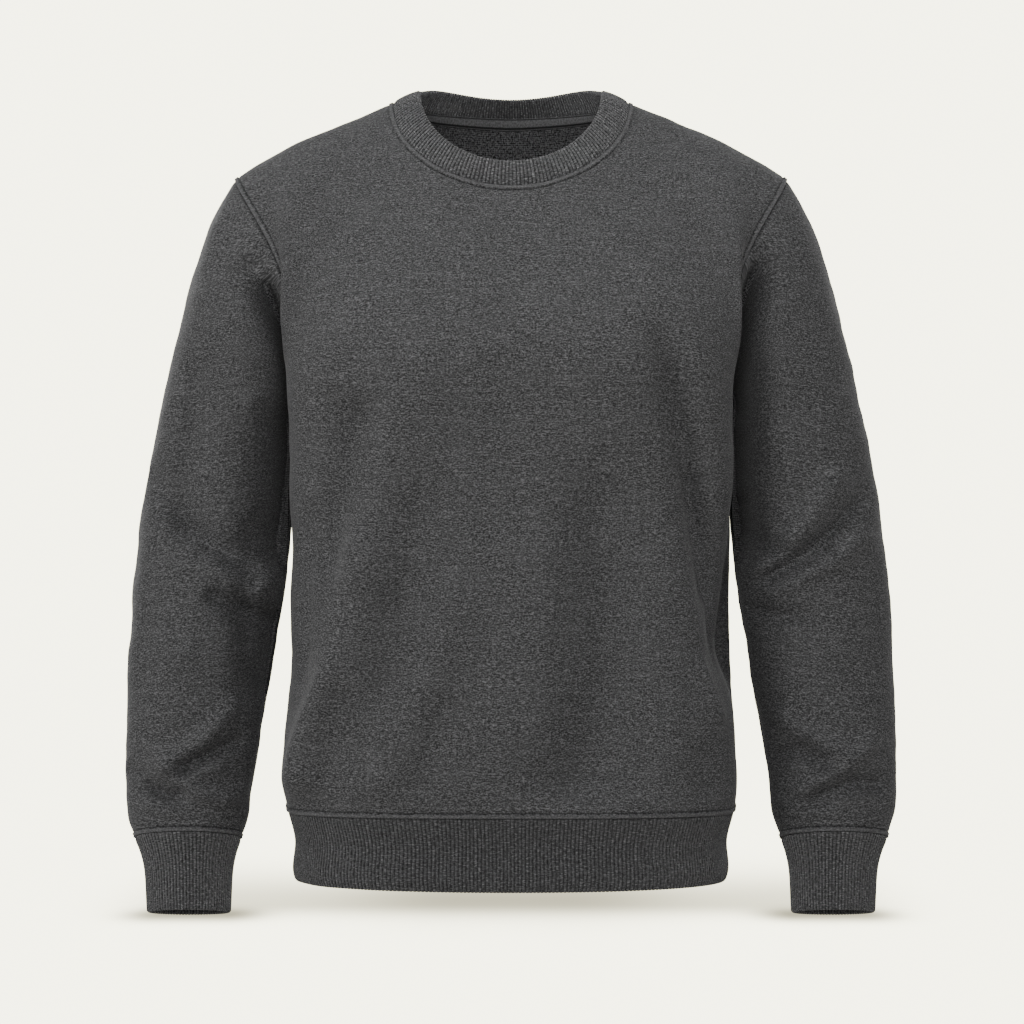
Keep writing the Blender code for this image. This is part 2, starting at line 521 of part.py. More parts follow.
# ================================================================ the garment
class Panels:
    """Front, back and sleeve grids, with the normals that they share along their seams."""

    def __init__(self):
        self.front, self.front_normals = panel_surface(False, FRONT_FOLDS)
        self.back, self.back_normals = panel_surface(True, BACK_FOLDS)
        self.sleeves = {
            +1: sleeve_surface(LEFT_SLEEVE_FRONT_FOLDS, LEFT_SLEEVE_BACK_FOLDS, +1),
            -1: sleeve_surface(RIGHT_SLEEVE_FRONT_FOLDS, RIGHT_SLEEVE_BACK_FOLDS, -1),
        }
        self.sleeve_normals = {side: grid_normals(grid, closed=True) for side, grid in self.sleeves.items()}
        self.share_side_seams()
        self.share_armholes()
        self.share_shoulders()
        neck = slice(SHOULDER_GAPS, SHOULDER_GAPS + NECK_GAPS)
        self.collar_base = np.concatenate([self.front[-1, neck], self.back[-1, neck]])
        self.collar_normals = np.concatenate([self.front_normals[-1, neck], self.back_normals[-1, neck]])

    def share_side_seams(self):
        """Front and back take one normal along each side seam."""
        rows = slice(0, LOWER_ROWS + 1)
        for front_column, back_column in ((0, -1), (-1, 0)):
            shared = unit(self.front_normals[rows, front_column] + self.back_normals[rows, back_column])
            self.front_normals[rows, front_column] = shared
            self.back_normals[rows, back_column] = shared

    def share_armholes(self):
        """Front, back and sleeve take one normal along each armhole."""
        for side, front_column, back_column in ((+1, -1, 0), (-1, 0, -1)):
            mirror = np.array([side, 1.0, 1.0])
            front_edge = self.front_normals[LOWER_ROWS:, front_column][::-1]
            back_edge = self.back_normals[LOWER_ROWS:, back_column]
            body = np.concatenate([front_edge[:-1], back_edge[:-1]]) * mirror
            body[UPPER_ROWS] = (1.0, 0.0, 0.0)
            body[0] = unit(front_edge[0] * mirror + back_edge[-1] * mirror)
            shared = unit(body + self.sleeve_normals[side][0])
            self.sleeve_normals[side][0] = shared
            worn = shared * mirror
            self.front_normals[LOWER_ROWS:, front_column] = worn[:UPPER_ROWS + 1][::-1]
            self.back_normals[LOWER_ROWS:, back_column] = np.concatenate([worn[UPPER_ROWS:], worn[:1]])

    def share_shoulders(self):
        """Front and back take one normal along each shoulder seam."""
        for step in range(1, SHOULDER_GAPS + 1):
            for front_column in (step, PANEL_GAPS - step):
                back_column = PANEL_GAPS - front_column
                shared = unit(self.front_normals[-1, front_column] + self.back_normals[-1, back_column])
                self.front_normals[-1, front_column] = shared
                self.back_normals[-1, back_column] = shared

    def panel(self, back):
        """Outer and inner grids of the front or the back."""
        points = (self.back if back else self.front).copy()
        normals = (self.back_normals if back else self.front_normals).copy()
        level = normals[0].copy()
        level[:, 2] = 0.0
        normals[0] = unit(level)
        shift = np.zeros_like(points)
        for column, beside, edge_side in ((0, 1, -1), (-1, -2, +1)):
            inside = points[:, beside].copy()
            inside[LOWER_ROWS + 1:] = self.across_armhole(edge_side * (-1 if back else 1), back)
            shift[:, column] += part_edges(points[:, column], normals[:, column], inside)
        shift[-1] += part_edges(points[-1], normals[-1], points[-2])
        shift[0, :, 2] += SEAM_GAP / 2
        outer = points + shift
        return outer, outer + CUT_LEAN * shift - FLEECE_WALL * normals

    def across_armhole(self, side, back):
        """For each armhole point of a panel, a point on the far side of the seam from the sleeve."""
        ring, first = self.sleeves[side][:2]
        opposite = (2.0 * ring - first) * np.array([side, 1.0, 1.0])
        if back:
            return np.concatenate([opposite[UPPER_ROWS + 1:], opposite[:1]])
        return opposite[:UPPER_ROWS][::-1]

    def sleeve(self, side):
        """Outer and inner grids of one sleeve, on its own side."""
        points = self.sleeves[side].copy()
        normals = self.sleeve_normals[side].copy()
        axis = unit(points[-1].mean(axis=0) - points[-3].mean(axis=0))
        flat = ring_axis(SLEEVE_SECTIONS[-1])
        normals[-1] = unit(normals[-1] - (normals[-1] @ flat)[:, None] * flat)
        shift = np.zeros_like(points)
        shift[0] = part_edges(points[0], normals[0], points[1], closed=True)
        shift[-1] = -axis * (SEAM_GAP / 2)
        outer = points + shift
        inner = outer + CUT_LEAN * shift - FLEECE_WALL * normals
        mirror = np.array([side, 1.0, 1.0])
        return outer * mirror, inner * mirror


def rib_wave(columns, ribs):
    """Outer relief of each column: every other one is a rib."""
    return RIB_RAISE * ((np.arange(columns) * 2 * ribs // columns) % 2 == 0)


def hem_ring(section, angle):
    """A whole turn of one waistband section, from the -X side by the front."""
    section = np.array(section) + np.zeros(angle.shape + (1,))
    front = body_ring(section, angle, False)
    rear = body_ring(section, angle - np.pi, True)
    whole = np.where((angle <= np.pi)[:, None], front, rear)
    low = (HEM_SEAM_HEIGHT - section[0, 0]) / (HEM_SEAM_HEIGHT - HEM_SECTIONS[0][0])
    whole[:, 2] -= HEM_FRONT_DROP * low * np.sin(angle) ** 2
    return whole


def hem_rib():
    """The waistband: a tube of rib with the fold at its lower edge."""
    columns = 2 * HEM_RIBS
    angle = np.linspace(0.0, 2.0 * np.pi, columns + 1)[:-1]
    plain = np.stack([hem_ring(section, angle) for section in HEM_SECTIONS])
    normals = grid_normals(plain, closed=True)
    normals[..., 2] = 0.0
    normals = unit(normals)
    raised = np.array(HEM_RIB_SHARES)[:, None] * rib_wave(columns, HEM_RIBS)
    outer = plain + normals * raised[..., None]
    inner = plain - RIB_WALL * normals
    outer[-1, :, 2] -= SEAM_GAP / 2
    inner[-1, :, 2] -= SEAM_GAP / 2
    return ribbed_mesh(outer, inner[HEM_INNER_ROWS, ::4])


def cuff_rib(side):
    """A cuff: a tapering tube of rib with the fold at its lower edge."""
    columns = 2 * CUFF_RIBS
    turn = np.linspace(0.0, 2.0 * np.pi, columns + 1)[:-1]
    sections = np.array(CUFF_SECTIONS)[:, None, :] + np.zeros((1, columns, 1))
    plain = sleeve_ring(sections, turn + np.zeros((len(CUFF_SECTIONS), 1)))
    axes = ring_axis(np.array(CUFF_SECTIONS))[:, None, :]
    normals = grid_normals(plain, closed=True)
    normals = unit(normals - np.sum(normals * axes, axis=-1, keepdims=True) * axes)
    raised = np.array(CUFF_RIB_SHARES)[:, None] * rib_wave(columns, CUFF_RIBS)
    outer = plain + normals * raised[..., None]
    inner = plain - RIB_WALL * normals
    outer[0] += axes[0] * (SEAM_GAP / 2)
    inner[0] += axes[0] * (SEAM_GAP / 2)
    mirror = np.array([side, 1.0, 1.0])
    return ribbed_mesh(outer * mirror, inner[CUFF_INNER_ROWS, ::2] * mirror, flip=side < 0)


def neck_rib(panels):
    """The collar: a band of rib from the neck edge to its folded rim."""
    base = panels.collar_base
    per_column = 2 * COLLAR_RIBS_PER_COLUMN
    columns = len(base) * per_column
    first = np.arange(columns) // per_column
    share = (np.arange(columns) % per_column / per_column)[:, None]
    following = (first + 1) % len(base)
    seam = base[first] * (1 - share) + base[following] * share
    joint = unit(panels.collar_normals[first] * (1 - share) + panels.collar_normals[following] * share)
    rim_front = half_ring(RIM_SIDE, RIM_FRONT, NECK_ROUNDNESS, columns // 2)[:-1]
    rim_back = half_ring(RIM_SIDE, RIM_BACK, NECK_ROUNDNESS, columns // 2)[::-1][:-1]
    rim = np.concatenate([rim_front, rim_back])

    levels = np.array(COLLAR_LEVELS)
    plain = seam + (rim - seam) * levels[:, None, None]
    normals = grid_normals(plain, closed=True)
    bulge = COLLAR_BULGE * np.sin(np.pi * levels) - COLLAR_RIM_TURN * (levels == 1.0)
    raised = bulge[:, None] + np.array(COLLAR_RIB_SHARES)[:, None] * rib_wave(columns, columns // 2)
    outer = plain + normals * raised[..., None]
    inner = plain - RIB_WALL * normals
    shift = part_edges(seam, joint, rim, closed=True)
    outer[0] = seam + shift
    inner[0] = seam + (1.0 + CUT_LEAN) * shift - FLEECE_WALL * joint
    return ribbed_mesh(outer, inner[COLLAR_INNER_ROWS, ::per_column // 2])


def neck_tape(panels):
    """The tape over the back neck seam, lying on the inside of the back."""
    _, inner = panels.panel(True)
    columns = slice(SHOULDER_GAPS, SHOULDER_GAPS + NECK_GAPS + 1)
    edge = inner[-1, columns]
    below = inner[-2, columns]
    normals = unit(panels.back_normals[-2, columns] + panels.back_normals[-1, columns])
    face = np.stack([below, edge + TAPE_TOP * (below - edge)]) - TAPE_GAP * normals
    return wall_mesh(face, face - TAPE_WALL * normals, False)


def build():
    """The whole garment."""
    for leftover in list(bpy.data.objects):
        bpy.data.objects.remove(leftover, do_unlink=True)
    panels = Panels()
    add_piece("front_panel", wall_mesh(*panels.panel(False), False), CHARCOAL)
    add_piece("back_panel", wall_mesh(*panels.panel(True), False), CHARCOAL)
    for name, side in (("left", +1), ("right", -1)):
        add_piece("sleeve_" + name, wall_mesh(*panels.sleeve(side), True, flip=side < 0), CHARCOAL)
        add_piece("cuff_" + name, cuff_rib(side), RIB_CHARCOAL)
    add_piece("hem_rib", hem_rib(), RIB_CHARCOAL)
    add_piece("neck_rib", neck_rib(panels), RIB_CHARCOAL)
    add_piece("neck_tape", neck_tape(panels), TAPE_CHARCOAL)


build()
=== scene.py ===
"""Crewneck sweatshirt in charcoal heather fleece with a rib collar, cuffs and waistband, filled out as worn.

Metres, +Z up, the chest faces -Y.  Each cloth piece is a surface on a grid of two parameters, worked out as
whole arrays: rows run up the garment (down the sleeves) and columns run round it.  The grids lie on the same
sections as the solids, and carry the folds, the flat coverstitched bands beside the seams and the ribs.
"""

import bpy
import numpy as np
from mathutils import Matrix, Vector


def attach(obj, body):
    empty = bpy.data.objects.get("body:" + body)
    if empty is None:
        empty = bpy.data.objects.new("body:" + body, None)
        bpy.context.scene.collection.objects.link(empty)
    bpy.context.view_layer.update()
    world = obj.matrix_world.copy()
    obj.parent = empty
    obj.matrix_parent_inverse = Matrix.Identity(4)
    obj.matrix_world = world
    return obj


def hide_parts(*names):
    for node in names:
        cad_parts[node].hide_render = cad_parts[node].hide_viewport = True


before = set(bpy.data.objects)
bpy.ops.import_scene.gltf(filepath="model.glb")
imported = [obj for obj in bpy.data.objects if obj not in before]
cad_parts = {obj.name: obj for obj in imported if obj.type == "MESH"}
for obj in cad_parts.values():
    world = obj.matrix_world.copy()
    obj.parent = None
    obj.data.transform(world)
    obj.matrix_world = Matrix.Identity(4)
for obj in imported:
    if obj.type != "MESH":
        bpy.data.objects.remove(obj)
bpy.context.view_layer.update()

# ================================================================ sizes shared with the solids
FLEECE_WALL = 0.0020
RIB_WALL = 0.0028
NECK_SIDE = (0.1056, 0.005, 0.0018)
FRONT_NECK_HEIGHT = -0.0785
BACK_NECK_HEIGHT = -0.0070
BACK_NECK_POINT = 1.4
RIM_SIDE = (0.0815, 0.004, 0.0116)
RIM_FRONT = (-0.0735, -0.0570)
RIM_BACK = (0.0625, 0.0095)
RIM_LIFT = 0.0056
NECK_ROUNDNESS = 0.62
COLLAR_BULGE = 0.0012
SHOULDER_TIP = (0.2485, 0.0, -0.0690)
SHOULDER_SLOPE = 0.43
CREST_ROUNDING = 0.020
SHOULDER_ROLL = 0.150
FRONT_NECK_ROLL = 0.150
BACK_NECK_ROLL = 0.300
ROLL_LIFT = 0.12
BODY_COLUMNS = ("height", "half_width", "front_depth", "back_depth", "squareness", "side_press")
BODY_SECTIONS = (
    (-0.6310, 0.2000, 0.1210, 0.1190, 0.13, 0.0000),
    (-0.6150, 0.2020, 0.1245, 0.1220, 0.13, 0.0000),
    (-0.5700, 0.2012, 0.1250, 0.1215, 0.13, 0.0000),
    (-0.5100, 0.1978, 0.1240, 0.1200, 0.14, 0.0000),
    (-0.4500, 0.1964, 0.1240, 0.1190, 0.15, 0.0000),
    (-0.3900, 0.1964, 0.1255, 0.1200, 0.16, 0.0000),
    (-0.3300, 0.1964, 0.1285, 0.1225, 0.18, 0.0012),
    (-0.2620, 0.1945, 0.1300, 0.1250, 0.21, 0.0055),
)
PRESS_REACH = 0.062
UNDERARM_LEAN = 80.0
LEAN_REACH = 0.30
COLUMN_FULLNESS = 1.05
EDGE_REACH = 0.34
EDGE_REACH_ACROSS = 0.13
ARMPIT_FOLD_PLACE = 0.07
ARMPIT_FOLD_WIDTH = 0.060
FRONT_ARMPIT_FOLD = 0.0110
BACK_ARMPIT_FOLD = 0.0080
UNDERARM_HEIGHT = BODY_SECTIONS[-1][0]
HEM_SEAM_HEIGHT = BODY_SECTIONS[0][0]
HEM_SECTIONS = (
    (-0.6950, 0.1915, 0.1125, 0.1100, 0.13, 0.0000),
    (-0.6920, 0.1926, 0.1138, 0.1112, 0.13, 0.0000),
    (-0.6560, 0.1928, 0.1118, 0.1096, 0.13, 0.0000),
    (-0.6310, 0.1990, 0.1200, 0.1180, 0.13, 0.0000),
)
HEM_FRONT_DROP = 0.0050
HEM_SEAM_DIP = 0.0044
DIP_HEIGHT = 0.10
SLEEVE_COLUMNS = ("outer_x", "outer_z", "inner_x", "inner_z", "centre_y", "half_depth", "tilt",
                  "front_scoop", "back_scoop")
SLEEVE_SECTIONS = (
    (0.2485, -0.0690, 0.1890, -0.2620, 0.000, 0.0780, 0.0, 0.0190, 0.0120),
    (0.2700, -0.1080, 0.1955, -0.2650, 0.001, 0.0775, 0.0, 0.0110, 0.0070),
    (0.2858, -0.1540, 0.1972, -0.2720, 0.002, 0.0755, 0.0, 0.0050, 0.0030),
    (0.2985, -0.2010, 0.1974, -0.2850, 0.004, 0.0725, 0.0, 0.0010, 0.0010),
    (0.3100, -0.2500, 0.1968, -0.3000, 0.005, 0.0690, 0.0, 0.0000, 0.0000),
    (0.3205, -0.3000, 0.1974, -0.3180, 0.006, 0.0660, 0.0, 0.0000, 0.0000),
    (0.3293, -0.3460, 0.1974, -0.3500, 0.008, 0.0635, 0.0, 0.0000, 0.0000),
    (0.3360, -0.3920, 0.1990, -0.3920, 0.008, 0.0625, 1.0, 0.0000, 0.0000),
    (0.3415, -0.4460, 0.2047, -0.4460, 0.007, 0.0600, 3.0, 0.0000, 0.0000),
    (0.3450, -0.5180, 0.2172, -0.5180, 0.004, 0.0560, 6.0, 0.0000, 0.0000),
    (0.3465, -0.5900, 0.2290, -0.5900, -0.002, 0.0500, 10.0, 0.0000, 0.0000),
    (0.3450, -0.6340, 0.2350, -0.6340, -0.006, 0.0455, 11.5, 0.0000, 0.0000),
    (0.3375, -0.6600, 0.2425, -0.6600, -0.009, 0.0420, 12.0, 0.0000, 0.0000),
)
CUFF_SECTIONS = (
    (0.3372, -0.6600, 0.2428, -0.6600, -0.009, 0.0416, 12.0, 0.0, 0.0),
    (0.3318, -0.6730, 0.2472, -0.6730, -0.010, 0.0350, 12.0, 0.0, 0.0),
    (0.3278, -0.6900, 0.2502, -0.6900, -0.013, 0.0295, 12.5, 0.0, 0.0),
    (0.3255, -0.7215, 0.2515, -0.7215, -0.019, 0.0250, 11.0, 0.0, 0.0),
    (0.3248, -0.7240, 0.2522, -0.7240, -0.0195, 0.0243, 11.0, 0.0, 0.0),
)

# ================================================================ cloth detail
# Millimetres: a fold's half width on the right hand and on the left hand of one who follows its course, how far
# it stands out, and its course as (x, z) seen from the front.
FRONT_FOLDS = (
    (24, 12, -16, (-126, -256), (-134, -296), (-143, -335), (-154, -383), (-166, -435)),
    (14, 36, 8.5, (-98, -243), (-103, -296), (-116, -339), (-131, -393), (-144, -454)),
    (14, 32, 15.5, (-121, -361), (-131, -393), (-144, -454), (-156, -497), (-167, -535), (-180, -575),
     (-188, -618), (-191, -644)),
    (7, 13, 8, (-153, -479), (-163, -518), (-176, -550), (-184, -576), (-189, -614), (-192, -649)),
    (10, 12, -5, (-140, -514), (-151, -549), (-160, -579), (-166, -614)),
    (20, 20, -6, (-65, -313), (-76, -357), (-86, -409), (-97, -461), (-107, -514), (-123, -570)),
    (18, 26, 8, (-36, -409), (-64, -488), (-88, -544), (-121, -610), (-136, -644)),
    (14, 16, -5, (-51, -522), (-71, -575), (-88, -627)),
    (32, 56, -23, (78, -287), (83, -392), (85, -470), (79, -531), (69, -579), (55, -631), (43, -732)),
    (18, 15, -23, (123, -182), (133, -222), (142, -265), (158, -322), (171, -379), (181, -422), (188, -479),
     (194, -544)),
    (12, 9, -9, (154, -322), (164, -365), (170, -409), (181, -457)),
    (14, 14, -7, (177, -562), (171, -610), (165, -662), (163, -710)),
    (7, 5, 5, (167, -488), (175, -514), (189, -557)),
    (10, 8, -8, (-180, -348), (-182, -409), (-180, -461), (-183, -505), (-189, -531)),
    (16, 18, 2, (130, -522), (140, -575), (137, -618)),
    (38, 80, 14, (-210, -222), (-158, -236), (-97, -240), (-44, -229), (1, -224), (43, -228), (95, -236),
     (134, -235), (200, -219)),
    (30, 30, -3, (-36, -73), (1, -79), (43, -73)),
    (44, 22, 6, (27, -374), (25, -444), (22, -496), (17, -557), (15, -601)),
)
BACK_FOLDS = (
    (20, 16, 13.4, (60, -150), (110, -260), (150, -390), (172, -520)),
    (14, 18, -12.7, (128, -400), (150, -500), (163, -610)),
    (22, 18, -15.3, (-85, -200), (-120, -300), (-150, -430), (-168, -580)),
    (16, 24, 6.2, (-130, -420), (-120, -520), (-126, -620)),
    (34, 28, -11.5, (20, -350), (-10, -480), (-20, -620)),
    (22, 30, 6.2, (75, -430), (70, -540), (55, -630)),
    (40, 50, 6.4, (-150, -175), (0, -130), (150, -175)),
)
RIGHT_SLEEVE_FRONT_FOLDS = (
    (14, 14, 4, (-273, -95), (-273, -135), (-270, -179), (-267, -219)),
    (14, 18, -9, (-235, -137), (-225, -162), (-216, -183), (-206, -204), (-198, -225)),
    (8, 12, -34, (-222, -155), (-213, -178), (-204, -202), (-197, -229), (-194, -254), (-195, -280)),
    (9, 9, 4, (-197, -249), (-215, -263), (-240, -270)),
    (13, 13, -40, (-196, -264), (-201, -312), (-207, -357), (-212, -392), (-208, -427)),
    (11, 11, -26, (-208, -445), (-215, -472), (-219, -503), (-222, -543)),
    (14, 14, -14, (-329, -317), (-311, -348), (-290, -376), (-263, -399), (-235, -420)),
    (8, 10, 9, (-275, -406), (-252, -425), (-228, -439), (-203, -420)),
    (10, 7, -12, (-274, -435), (-252, -448), (-231, -456), (-210, -470)),
    (9, 9, 8.5, (-236, -527), (-247, -541), (-272, -571), (-306, -593), (-329, -599)),
    (7, 6, -12, (-306, -597), (-291, -592), (-272, -583), (-252, -574), (-236, -566)),
    (6, 6, 4, (-288, -603), (-270, -597), (-252, -590)),
    (8, 8, 7, (-321, -571), (-304, -596), (-283, -615), (-240, -629)),
    (6, 6, -8, (-329, -605), (-318, -613), (-304, -619), (-283, -615)),
    (5, 5, -5, (-345, -594), (-334, -598), (-323, -601)),
    (7, 7, 5, (-256, -628), (-244, -619), (-231, -610)),
    (5, 5, -4, (-323, -613), (-298, -621), (-284, -628)),
    (6, 6, 3, (-336, -620), (-311, -633), (-284, -636)),
    (14, 19, -14, (-274, -215), (-281, -268), (-287, -312), (-289, -357), (-283, -414)),
    (11, 12, -11, (-224, -357), (-233, -401), (-238, -445), (-236, -489), (-233, -538)),
    (16, 16, 2.5, (-320, -481), (-302, -494), (-275, -489)),
)
LEFT_SLEEVE_FRONT_FOLDS = (
    (11, 12, -56, (219, -126), (213, -153), (205, -184), (200, -219), (199, -286), (201, -339), (207, -392),
     (216, -427)),
    (10, 10, -16, (201, -348), (210, -383), (228, -399), (252, -399)),
    (14, 16, -4, (250, -179), (257, -233), (260, -286)),
    (13, 14, 4, (228, -286), (243, -317), (256, -357)),
    (10, 9, 10, (300, -323), (261, -380), (233, -406), (199, -427)),
    (7, 8, -13, (323, -339), (279, -390), (249, -414), (215, -435)),
    (9, 9, 9, (327, -381), (288, -410), (253, -427), (219, -445)),
    (9, 7, -9, (206, -452), (238, -460), (275, -457)),
    (9, 8, 8, (226, -544), (256, -560), (287, -577), (311, -584)),
    (7, 8, -9, (228, -587), (256, -578), (288, -594)),
    (5, 5, 3, (245, -594), (267, -594)),
    (8, 8, 8.5, (332, -559), (314, -580), (292, -599), (245, -621)),
    (7, 8, -10, (260, -626), (297, -608), (339, -610)),
    (5, 5, 3, (284, -622), (306, -621), (327, -619)),
    (6, 6, 3, (243, -633), (267, -636), (300, -633)),
    (16, 16, 2.5, (300, -481), (278, -498), (256, -494)),
)
RIGHT_SLEEVE_BACK_FOLDS = (
    (13, 13, 14, (-318, -370), (-285, -392), (-235, -405)),
    (11, 11, -14, (-314, -412), (-280, -428), (-240, -436)),
    (16, 18, -9.8, (-262, -150), (-272, -240), (-268, -320)),
    (10, 10, 11.9, (-318, -545), (-285, -572), (-245, -600)),
    (8, 8, -11.2, (-322, -590), (-292, -606), (-250, -618)),
)
LEFT_SLEEVE_BACK_FOLDS = (
    (14, 12, 13.3, (235, -360), (272, -372), (318, -405)),
    (11, 10, -13.3, (240, -400), (280, -412), (312, -436)),
    (17, 16, -9.1, (255, -130), (262, -200), (258, -290)),
    (10, 11, 11.9, (248, -560), (285, -580), (325, -590)),
    (7, 8, -9.8, (252, -604), (285, -612), (318, -615)),
)
FOLD_FADE = 0.18
TROUGH_POINT = 1.7
POCKET_POINT = 1.25
POCKET_DEPTH = 25
SIDEWAYS_SHARE = 0.4
# how deep a sleeve's hollow may be: this much, and this many times the cloth's distance from the middle
HOLLOW_ROOM = 0.006
HOLLOW_ROOM_GAIN = 1.7
HOLLOW_SOFTNESS = 0.003
# soft unevenness of the cloth: heights of its long and its short waves, and their lengths
WAVE_HEIGHTS = (0.0009, 0.00035)
PANEL_WAVES = (0.075, 0.028)
SLEEVE_WAVES = (0.065, 0.026)
HEM_WAVE_HEIGHT = 0.0005
HEM_WAVE = 0.06
# where folds and waves reach full height: in from a panel's side as a share of its width, and metres above its
# hem seam; waves also metres from the neck seam; on a sleeve, metres below the armhole and above the cuff
FOLD_QUIET = (0.06, 0.03)
WAVE_QUIET = (0.04, 0.02)
NECK_CALM = 0.03
SLEEVE_QUIET = (0.009, 0.016)
# softening of the bend level with the underarm
EASE_REACH = 0.07
EASE_ROWS = 24
EASE_ROUNDS = 70

# distances from a seam at which the grids have a line, close together where the stitched band lies
SEAM_STEPS = 0.001 * np.array([0.0, 0.3, 0.7, 1.2, 1.9, 2.8, 3.6, 4.2, 4.7, 5.1, 5.6, 6.3, 7.6, 9.6])
BAND_WIDTH = 0.0046
BAND_RAISE = 0.0009
BAND_REACH = 0.012
SEAM_SINK = 0.0008
# the most painted highlight on a stitched band, given as a painted shade below 0
LIGHTEST_SHADE = -0.3
WALL_EASE = 0.0006
SHARP_ANGLE = 60.0
NECK_SHARE = NECK_SIDE[0] / SHOULDER_TIP[0]
# cloth in one gap of the grids, gaps across the neck and round a sleeve, length of a panel's upper part, and the
# small steps, as shares, with which cloth per share and normals are worked out
PANEL_STEP = 0.0030
NECK_GAPS = 112
UPPER_LENGTH = 0.19
SPEED_STEP = 0.002
NORMAL_STEP = 0.003
SLEEVE_STEP = 0.0027
SLEEVE_GAPS = 134
# a sleeve's radius beside its underarm seam, and the most that its rows of strands slant
SLEEVE_RADIUS = 0.055
DRIFT_LIMIT = 0.12

HEM_RIBS = 378
CUFF_RIBS = 82
COLLAR_RIBS = 208
COLUMNS_PER_RIB = 6
RIB_RAISE = 0.0010
COLLAR_RIB_RAISE = 0.0013
RIB_PITCH = 0.0028
# first rows of a band of rib, as distances from its seam, and the gap between its last row and the fold
RIB_ROWS = (0.0, 0.0006, 0.0014, 0.0026, 0.0042)
FOLD_GAP = 0.0014
COLLAR_HEIGHT = 0.0245
TAPE_WIDTH = 0.0126
TAPE_HALF_WALL = 0.0009
TAPE_ABOVE_SEAM = 0.0022
TAPE_DEPTH = FLEECE_WALL + 0.0008
TAPE_SIDES = 16

STITCH_PITCH = 0.0030
STITCH_LINES = (0.0012, 0.0036)
STITCH_SHARE = 0.80
STITCH_ARCH = 0.00022
STITCH_SINK = 0.00012
STITCH_NUDGE = 0.0004
THREAD = 0.00026
THREAD_TAPER = (0.45, 0.9, 1.0, 0.9, 0.45)

EYE = (0.0009, -3.9, -0.3672)
PICTURE_WIDTH = 0.9216
FLOOR_HEIGHT = -0.7325
FLOOR_SIZE = 60.0
FLOOR_GLOW = 0.44
PALE = (6.0, 5.85, 4.4, 1.0)
WORLD_FILL = 0.06
# painted shadow on the floor, laid in its colour and not cast by the garment: x and y of a spot's middle, half
# its length, softness at its ends, in front and behind, and how dark it is
SHADOW_SPOTS = (
    (0.0, 0.14, 0.27, 0.07, 0.105, 0.32, 1.00),
    (0.0, 0.20, 0.05, 0.10, 0.20, 0.25, 0.85),
    (-0.288, 0.03, 0.030, 0.030, 0.060, 0.06, 1.7),
    (0.288, 0.03, 0.030, 0.030, 0.060, 0.06, 1.7),
)
LIGHT_AIM_HEIGHT = -0.38
# name, turned from the front toward +X and raised (degrees), distance, size, power
SOFTBOXES = (
    ("left_box", -56.0, 8.0, 3.5, 1.3, 34.5),
    ("left_edge_box", -92.0, 5.0, 3.5, 1.3, 20.0),
    ("front_box", 0.0, 20.0, 1.7, 1.0, 12.9),
    ("right_box", 62.0, 6.0, 3.5, 1.3, 11.5),
    ("right_edge_box", 95.0, 5.0, 3.5, 1.3, 10.0),
    ("top_box", 0.0, 88.0, 3.5, 1.5, 60.0),
    ("back_left_box", -146.0, 8.0, 3.5, 1.3, 36.0),
    ("back_right_box", 150.0, 25.0, 3.5, 1.3, 15.0),
)


# ================================================================ curves and tables
def unit(vectors):
    """Vectors divided by their length."""
    return vectors / np.maximum(np.linalg.norm(vectors, axis=-1, keepdims=True), 1e-12)


def smooth_step(value):
    """3t^2 - 2t^3, with t held between 0 and 1."""
    clipped = np.clip(value, 0.0, 1.0)
    return clipped * clipped * (3.0 - 2.0 * clipped)


def curve_between(start, leave, end, arrive, part):
    """The cubic from start to end that leaves and arrives along the two given directions."""
    return ((2 * part ** 3 - 3 * part ** 2 + 1) * start + (part ** 3 - 2 * part ** 2 + part) * leave
            + (3 * part ** 2 - 2 * part ** 3) * end + (part ** 3 - part ** 2) * arrive)


def columns_of(names, section):
    """A section's values, or whole arrays of them, under their column names."""
    return dict(zip(names, np.moveaxis(np.asarray(section, dtype=float), -1, 0)))


def table_at(rows, where, key=None):
    """Table rows read at fractional places: a cubic between neighbours through every column."""
    table = np.array(rows, dtype=float)
    keys = np.arange(len(table)) if key is None else table[:, key]
    slopes = np.gradient(table, keys, axis=0)
    where = np.asarray(where, dtype=float)
    below = np.clip(np.searchsorted(keys, where, side="right") - 1, 0, len(keys) - 2)
    step = (keys[below + 1] - keys[below])[..., None]
    part = (where - keys[below])[..., None] / step
    return curve_between(table[below], step * slopes[below], table[below + 1], step * slopes[below + 1], part)


def along(line):
    """Length along a line up to each of its points."""
    return np.concatenate(([0.0], np.cumsum(np.linalg.norm(np.diff(line, axis=0), axis=1))))


def read_line(line, wanted, values=None):
    """A line's points, or values kept at its points, at given lengths along it."""
    lengths = along(line)
    values = line if values is None else values
    return np.stack([np.interp(wanted, lengths, values[:, axis]) for axis in range(values.shape[1])], axis=1)


def even_line(line, count):
    """count + 1 points evenly along a line."""
    return read_line(line, np.linspace(0.0, along(line)[-1], count + 1))


def seam_distance(points, seam):
    """Distance to a seam line: its nearest point is found, then the foot on the two stretches beside it."""
    flat = points.reshape(-1, 3)
    best = np.empty(len(flat))
    for part in np.array_split(np.arange(len(flat)), max(1, len(flat) // 6000)):
        here = flat[part]
        gap = (here ** 2).sum(axis=1)[:, None] + (seam ** 2).sum(axis=1)[None, :] - 2.0 * here @ seam.T
        nearest = np.argmin(gap, axis=1)
        reach = np.full(len(part), np.inf)
        for start in (np.maximum(nearest - 1, 0), np.minimum(nearest, len(seam) - 2)):
            span = seam[start + 1] - seam[start]
            share = np.clip(((here - seam[start]) * span).sum(axis=1) / (span ** 2).sum(axis=1), 0.0, 1.0)
            reach = np.minimum(reach, np.linalg.norm(here - seam[start] - share[:, None] * span, axis=1))
        best[part] = reach
    return best.reshape(points.shape[:-1])


